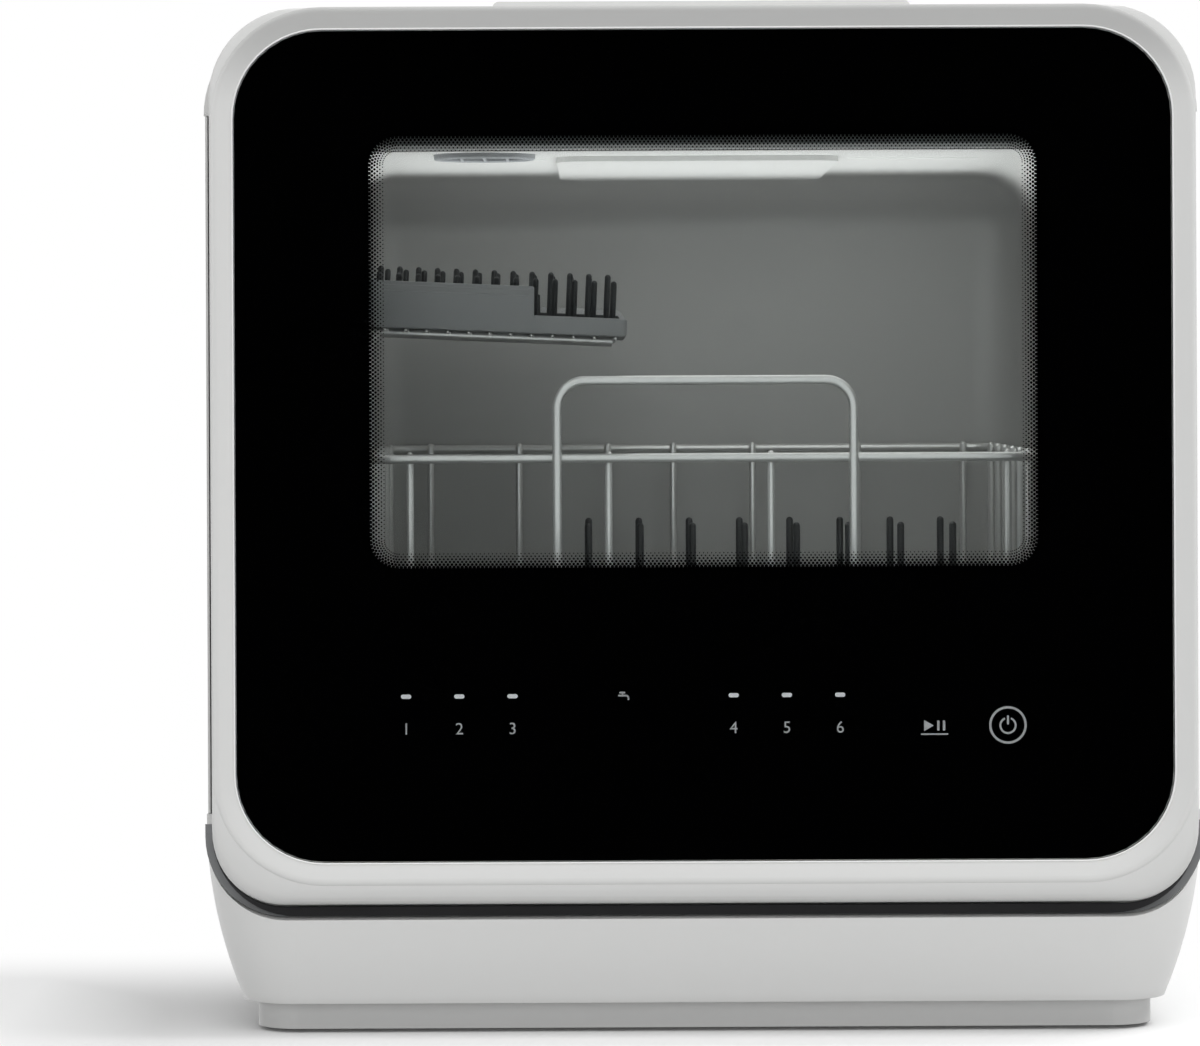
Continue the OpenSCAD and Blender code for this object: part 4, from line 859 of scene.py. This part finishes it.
def ceiling_panel(bm, x, y, depth, radius):
    """A shallow pressed panel that hangs from the ceiling, its lower edge rounded."""
    place = Matrix.Translation((sum(x) / 2, sum(y) / 2, TUB_TOP + PANEL_SINK))
    size = Matrix.Diagonal((x[1] - x[0], y[1] - y[0], 1, 1))
    made = bmesh.ops.create_grid(bm, x_segments=1, y_segments=1, size=0.5, matrix=place @ size)
    made = bmesh.ops.bevel(bm, geom=made["verts"], offset=radius, segments=8, profile=0.5,
                           affect="VERTICES", material=-1)
    down = bmesh.ops.extrude_face_region(bm, geom=made["faces"])
    faces = [g for g in down["geom"] if isinstance(g, bmesh.types.BMFace)]
    corners = [g for g in down["geom"] if isinstance(g, bmesh.types.BMVert)]
    bmesh.ops.translate(bm, verts=corners, vec=(0, 0, -depth - PANEL_SINK))
    rim = {e for f in faces for e in f.edges}
    bmesh.ops.bevel(bm, geom=list(rim), offset=mm(2.4), segments=4, profile=0.5,
                    affect="EDGES", material=-1)


ceiling_panel(bm, PANEL_X, PANEL_Y, depth=mm(4.6), radius=mm(14.5))
for x0, x1 in BEADS_X:
    add_wire(bm, [mm(x0, BEAD_Y, BEAD_Z), mm(x1, BEAD_Y, BEAD_Z)], mm(BEAD_R))
bmesh.ops.holes_fill(bm, edges=[e for e in bm.edges if e.is_boundary])
bmesh.ops.recalc_face_normals(bm, faces=list(bm.faces))
put_on(make_piece("tub_lining", bm, tub_steel), "cabinet", "stainless")

# %% [markdown]
# The drying fan blows through a round grille in the ceiling: a ring with a rounded lip, spun
# from its section, and thin bars across the hole. A black disc in the hole is painted shade for
# the dark inside.

# %% Vent grille
VENT = Vector((mm(-93), mm(-141), TUB_TOP))
BAR_GAP, HOLE_R = 9.9, 19.6
bm = bmesh.new()
lip = [(19.3, 0.3), (19.3, -2.2), (19.9, -2.8), (21.2, -2.8), (21.9, -2.1), (22.2, 0.3)]
section = [bm.verts.new(VENT + mm(r, 0, z)) for r, z in lip]
edges = [bm.edges.new(pair) for pair in zip(section, section[1:] + section[:1])]
bmesh.ops.spin(bm, geom=section + edges, cent=VENT, axis=(0, 0, 1), angle=math.tau, steps=72,
               use_merge=True)
for step in (-BAR_GAP, 0, BAR_GAP):
    half = math.sqrt(HOLE_R ** 2 - step ** 2)
    bar = Matrix.Diagonal((*mm(1.3, 2 * half, 2.4), 1))
    made = bmesh.ops.create_cube(bm, size=1,
                                 matrix=Matrix.Translation(VENT + mm(step, 0, -1.4)) @ bar)
    long_edges = [e for e in {e for v in made["verts"] for e in v.link_edges}
                  if abs(e.verts[0].co.y - e.verts[1].co.y) > mm(5)]
    bmesh.ops.bevel(bm, geom=long_edges, offset=mm(0.35), segments=2, profile=0.5,
                    affect="EDGES", material=-1)
bmesh.ops.recalc_face_normals(bm, faces=list(bm.faces))
put_on(make_piece("vent_cover", bm, grey_plastic), "cabinet", "grey_plastic", "vent_grille")
# A black disc in the hole: painted shade.
bm = bmesh.new()
bmesh.ops.create_cone(bm, cap_ends=True, segments=64, radius1=mm(19.5), radius2=mm(19.5),
                      depth=mm(0.6), matrix=Matrix.Translation(VENT + mm(0, 0, -0.1)))
put_on(make_piece("vent_hole_painted_shade", bm, black_plastic), "cabinet", "black_plastic")

# %% [markdown]
# ## The cutlery tray
#
# The tray is an open dish with a high left part and a low right part. Its wall is a stack of
# closed outlines that are bridged one to the next: up the outside, over two small ledges and the
# rim, and down the inside. Each outline has extra points where the wall steps down, and a
# function gives the wall's height at any point of the plan. The whole tray then tips a little
# to the right.

# %% Tray outlines
TRAY_X, TRAY_Y, TRAY_Z = (mm(-148.5), mm(-31.5)), (mm(-142), mm(68)), mm(299.2)
TRAY_TILT = math.radians(2.6)
STEP_X, TALL, LOW, REAR, TRAY_R = mm(-72.5), mm(20.5), mm(8), mm(15), mm(5)
STATIONS = [STEP_X - mm(v) for v in (9, 5, 3, 2, 1.2, 0.5, 0)] + [STEP_X + mm(0.4), STEP_X + mm(1)]


def outline(inset):
    """The tray's plan shrunk by an inset: points of a rounded rectangle, anticlockwise."""
    r = TRAY_R - min(inset, mm(4))
    (x0, x1), (y0, y1) = TRAY_X, TRAY_Y
    left, right, front, back = (x0 + inset + r, x1 - inset - r, y0 + inset + r, y1 - inset - r)
    points = []
    for x, y, turn in ((right, front, -90), (right, back, 0), (left, back, 90), (left, front, 180)):
        for k in range(6):
            a = math.radians(turn + 18 * k)
            points.append(Vector((x + r * math.cos(a), y + r * math.sin(a), 0)))
        if turn == 0:
            points += [Vector((s, y1 - inset, 0)) for s in reversed(STATIONS)]
        if turn == 180:
            points += [Vector((s, y0 + inset, 0)) for s in STATIONS]
    return points


def rim_height(p):
    """Height of the wall over the tray's floor at a point of the plan."""
    if p.x <= STEP_X + mm(0.01):
        return TALL - mm(0.5) * max(0, 1 - (STEP_X - p.x) / mm(0.9)) ** 2
    rise = min(max((p.y - TRAY_Y[1] + TRAY_R) / TRAY_R, 0), 1)
    return LOW + (REAR - LOW) * rise


def ledge_share(p):
    """1 where the wall has its full ledges, small where they shrink into the rim."""
    return min(max((STEP_X - p.x) / mm(3), 0.12), 1)


tip = (Matrix.Translation((TRAY_X[0], 0, TRAY_Z)) @ Matrix.Rotation(TRAY_TILT, 4, "Y")
       @ Matrix.Translation((-TRAY_X[0], 0, -TRAY_Z)))
print("tray points per outline:", len(outline(0)))

# %% Tray shell
# A level has an inset and a height over the tray's floor. Where the height is None, the level
# lies below the wall's top by the third value.
levels = [(1.3, 0, 0), (0.4, 0.4, 0), (0, 1.3, 0), (0, None, 4.3), (0.55, None, 4.0),
          (0.55, None, 1.8), (1.1, None, 1.5), (1.1, None, 0.25), (1.3, None, 0),
          (2.1, None, 0), (2.3, None, 0.25), (2.3, 3.4, 0), (3.2, 2.4, 0), (4.2, 2.1, 0)]
bm = bmesh.new()
loops = []
for inset, height, drop in levels:
    loop = []
    for p in outline(mm(inset)):
        up = mm(height) if height is not None else rim_height(p) - mm(drop) * ledge_share(p)
        loop.append(bm.verts.new((p.x, p.y, TRAY_Z + up)))
    loops.append([bm.edges.new(pair) for pair in zip(loop, loop[1:] + loop[:1])])
for lower, upper in zip(loops, loops[1:]):
    bmesh.ops.bridge_loops(bm, edges=lower + upper)
for ring in (loops[0], loops[-1]):
    bmesh.ops.contextual_create(bm, geom=ring)
bmesh.ops.recalc_face_normals(bm, faces=list(bm.faces))
# The inner faces get the nearly black finish: painted shade, where the tray's inside lies in deep
# shade.
RIM = mm(2.2)
inside = [f for f in bm.faces if all(TRAY_X[0] + RIM < v.co.x < TRAY_X[1] - RIM
                                     and TRAY_Y[0] + RIM < v.co.y < TRAY_Y[1] - RIM
                                     and v.co.z > TRAY_Z + mm(2) for v in f.verts)]
for f in inside:
    f.material_index = 1
bmesh.ops.transform(bm, verts=bm.verts, matrix=tip)
tray = make_piece("tray_shell", bm, tray_plastic)
tray.data.materials.append(tray_inside_painted_shade)
put_on(tray, "rack", "tray_plastic", "cutlery_tray")
print("inside faces:", len(inside))

# %% [markdown]
# Three rows of thin pins stand on the tray's floor and keep knives and forks apart. The front
# row is lower, and the rows behind it stand a little to the left. Under the tray, thin wires
# run from front to back, and their domed ends show below its front edge.

# %% Pins and shelf wires
IN_ROW = 13
PIN_PITCH, PIN_ROW_GAP, SHELF_PITCH = 8.6, 70, 9.1
FIRST_PIN, REAR_SHIFT, FRONT_ROW = 6.5, 2.7, 31.35
PIN_FOOT, FRONT_TOP, REAR_TOP, PIN_R = 1.9, 24.7, 29, 1.35
FIRST_SHELF, SHELF_DROP, SHELF_R = 5, 0.75, 0.8
bm = bmesh.new()
for row in range(3):
    for i in range(IN_ROW):
        x = TRAY_X[1] - mm(FIRST_PIN + PIN_PITCH * i + (REAR_SHIFT if row else 0))
        y = TRAY_Y[0] + mm(FRONT_ROW + PIN_ROW_GAP * row)
        top = TRAY_Z + mm(REAR_TOP if row else FRONT_TOP)
        add_wire(bm, [(x, y, TRAY_Z + mm(PIN_FOOT)), (x, y, top)], mm(PIN_R), resolution=2)
bmesh.ops.transform(bm, verts=bm.verts, matrix=tip)
# The pins wear the nearly black finish too: painted shade.
put_on(make_piece("tray_pins", bm, tray_inside_painted_shade), "rack", "tray_plastic")
bm = bmesh.new()
shelf_z = TRAY_Z - mm(SHELF_DROP)
for i in range(IN_ROW):
    x = TRAY_X[1] - mm(FIRST_SHELF + SHELF_PITCH * i)
    add_wire(bm, [(x, TRAY_Y[0] + mm(1), shelf_z), (x, TRAY_Y[1] - mm(4), shelf_z)],
             mm(SHELF_R), resolution=2)
bmesh.ops.transform(bm, verts=bm.verts, matrix=tip)
put_on(make_piece("tray_shelf", bm, wire_steel), "rack", "rack_wire")

# %% [markdown]
# ## The bezel, the rim and the roll
#
# The white frame of the door is dished: it slopes from a soft crease down to the glass, where it
# ends in a fine raised lip that shows as a thin bright line; the lip's white is lighter than the
# bezel's, a painted highlight. The bezel's white grows darker towards its top, painted shade.
# Below the crease the door's lower edge is nearly flat and ends in a small round. Each of these
# is a closed section that follows the door's outline, so a helper lofts rounded outlines one to
# the next. The rings lie so close together that the bridging operator would join the wrong ones,
# so the loft sets its own quads.

# %% Outline and loft helpers
GLASS_HALF, GLASS_FOOT, GLASS_HEAD, GLASS_R = 196.5, 74, 422.5, 37
CORNER_STEPS = 14


def door_outline(half_w, low, high, foot_r, head_r, y):
    """Points of an upright rounded outline; the values it takes are millimetres."""
    points = []
    foot_x, foot_z, head_x, head_z = half_w - foot_r, low + foot_r, half_w - head_r, high - head_r
    corners = ((foot_x, foot_z, foot_r, -90), (head_x, head_z, head_r, 0),
               (-head_x, head_z, head_r, 90), (-foot_x, foot_z, foot_r, 180))
    for x, z, r, turn in corners:
        for k in range(CORNER_STEPS + 1):
            a = math.radians(turn + 90 * k / CORNER_STEPS)
            points.append(mm(x + r * math.cos(a), y, z + r * math.sin(a)))
    return points


def loft(outlines):
    """A closed ring whose section runs through the outlines in turn."""
    bm = bmesh.new()
    rings = [[bm.verts.new(p) for p in points] for points in outlines]
    for ring, after in zip(rings, rings[1:] + rings[:1]):
        for k in range(len(ring)):
            bm.faces.new((ring[k - 1], ring[k], after[k], after[k - 1]))
    bmesh.ops.recalc_face_normals(bm, faces=list(bm.faces))
    return bm


def round_glass(out, y):
    """The outline of the glass grown by some millimetres."""
    r = GLASS_R + out
    return door_outline(GLASS_HALF + out, GLASS_FOOT - out, GLASS_HEAD + out, r, r, y)


# %% Bezel, rim and roll
# Sections of the bezel and the lip: how far out from the glass, and y.
section = [(0.5, -216.0), (0.5, -216.7), (2.5, -217.2), (6.4, -218.25), (7.6, -218.5),
           (8.5, -218.5), (9.3, -218.25), (9.6, -218.0), (9.6, -216.0)]
# The bezel's white grows darker towards its top: painted shade.
bm = loft([round_glass(out, y) for out, y in section])
put_on(make_piece("dished_bezel", bm, bezel_white_painted_shade, sharp=50), "door", "white_plastic",
       "door_bezel")
# The lip's white is lighter than the bezel's: a painted highlight.
lip = [(0.12, -216.0), (0.12, -216.85), (0.25, -217.05), (0.6, -217.1), (0.82, -216.9),
       (0.82, -216.0)]
bm = loft([round_glass(out, y) for out, y in lip])
put_on(make_piece("glass_rim", bm, rim_painted_highlight, sharp=70), "door", "white_plastic")
# Rings of the roll, as door_outline takes them.
roll = [(204.6, 65.9, 430.6, 45.5, 45.5, -216.0), (204.8, 65.7, 430.8, 45.5, 45.5, -218.1),
        (205.8, 63.9, 431.6, 44, 44, -218.1), (206.4, 60.0, 431.8, 36, 38, -217.5),
        (206.6, 57.9, 431.9, 32, 37.6, -216.2), (206.65, 56.6, 432.0, 30.5, 37.5, -214.6),
        (206.65, 56.0, 432.0, 30, 37.5, -212.3), (206.65, 55.8, 432.0, 30, 37.5, -210.2),
        (205.6, 57.4, 430.9, 29, 36.5, -210.2)]
bm = loft([door_outline(*values) for values in roll])
put_on(make_piece("door_roll", bm, white_plastic, sharp=50), "door", "white_plastic")

# %% [markdown]
# Under the door, a near-black strip stands across the groove. It is painted shade: it is why the
# groove reads as a dark line that thins out round the door's lower corners. The grey lip that
# holds it shows beside it there.

# %% Strips in the groove
def groove_strip(name, inner, outer, front, depth, top, material, slot):
    """A strip that follows the door's lower edge, cut off level at the top."""
    ring = [(*inner, front), (*outer, front), (*outer, front + depth), (*inner, front + depth)]
    bm = loft([door_outline(*values) for values in ring])
    bmesh.ops.bisect_plane(bm, geom=list(bm.verts) + list(bm.edges) + list(bm.faces),
                           plane_co=(0, 0, mm(top)), plane_no=(0, 0, 1), clear_outer=True)
    bmesh.ops.holes_fill(bm, edges=[e for e in bm.edges if e.is_boundary])
    bmesh.ops.recalc_face_normals(bm, faces=list(bm.faces))
    put_on(make_piece(name, bm, material), "cabinet", slot)


UNDER_DOOR = (206.9, 54.1, 400, 30, 38)
# A dark strip in the groove: painted shade.
groove_strip("groove_painted_shade", UNDER_DOOR, (207.5, 50.3, 401, 35, 38.6), front=-203.5, depth=1.4,
             top=82, material=rubber, slot="black_plastic")
groove_strip("groove_lip", UNDER_DOOR, (210.6, 49.8, 404, 34, 41), front=-202, depth=1.2,
             top=89, material=seal_rubber, slot="grey_plastic")
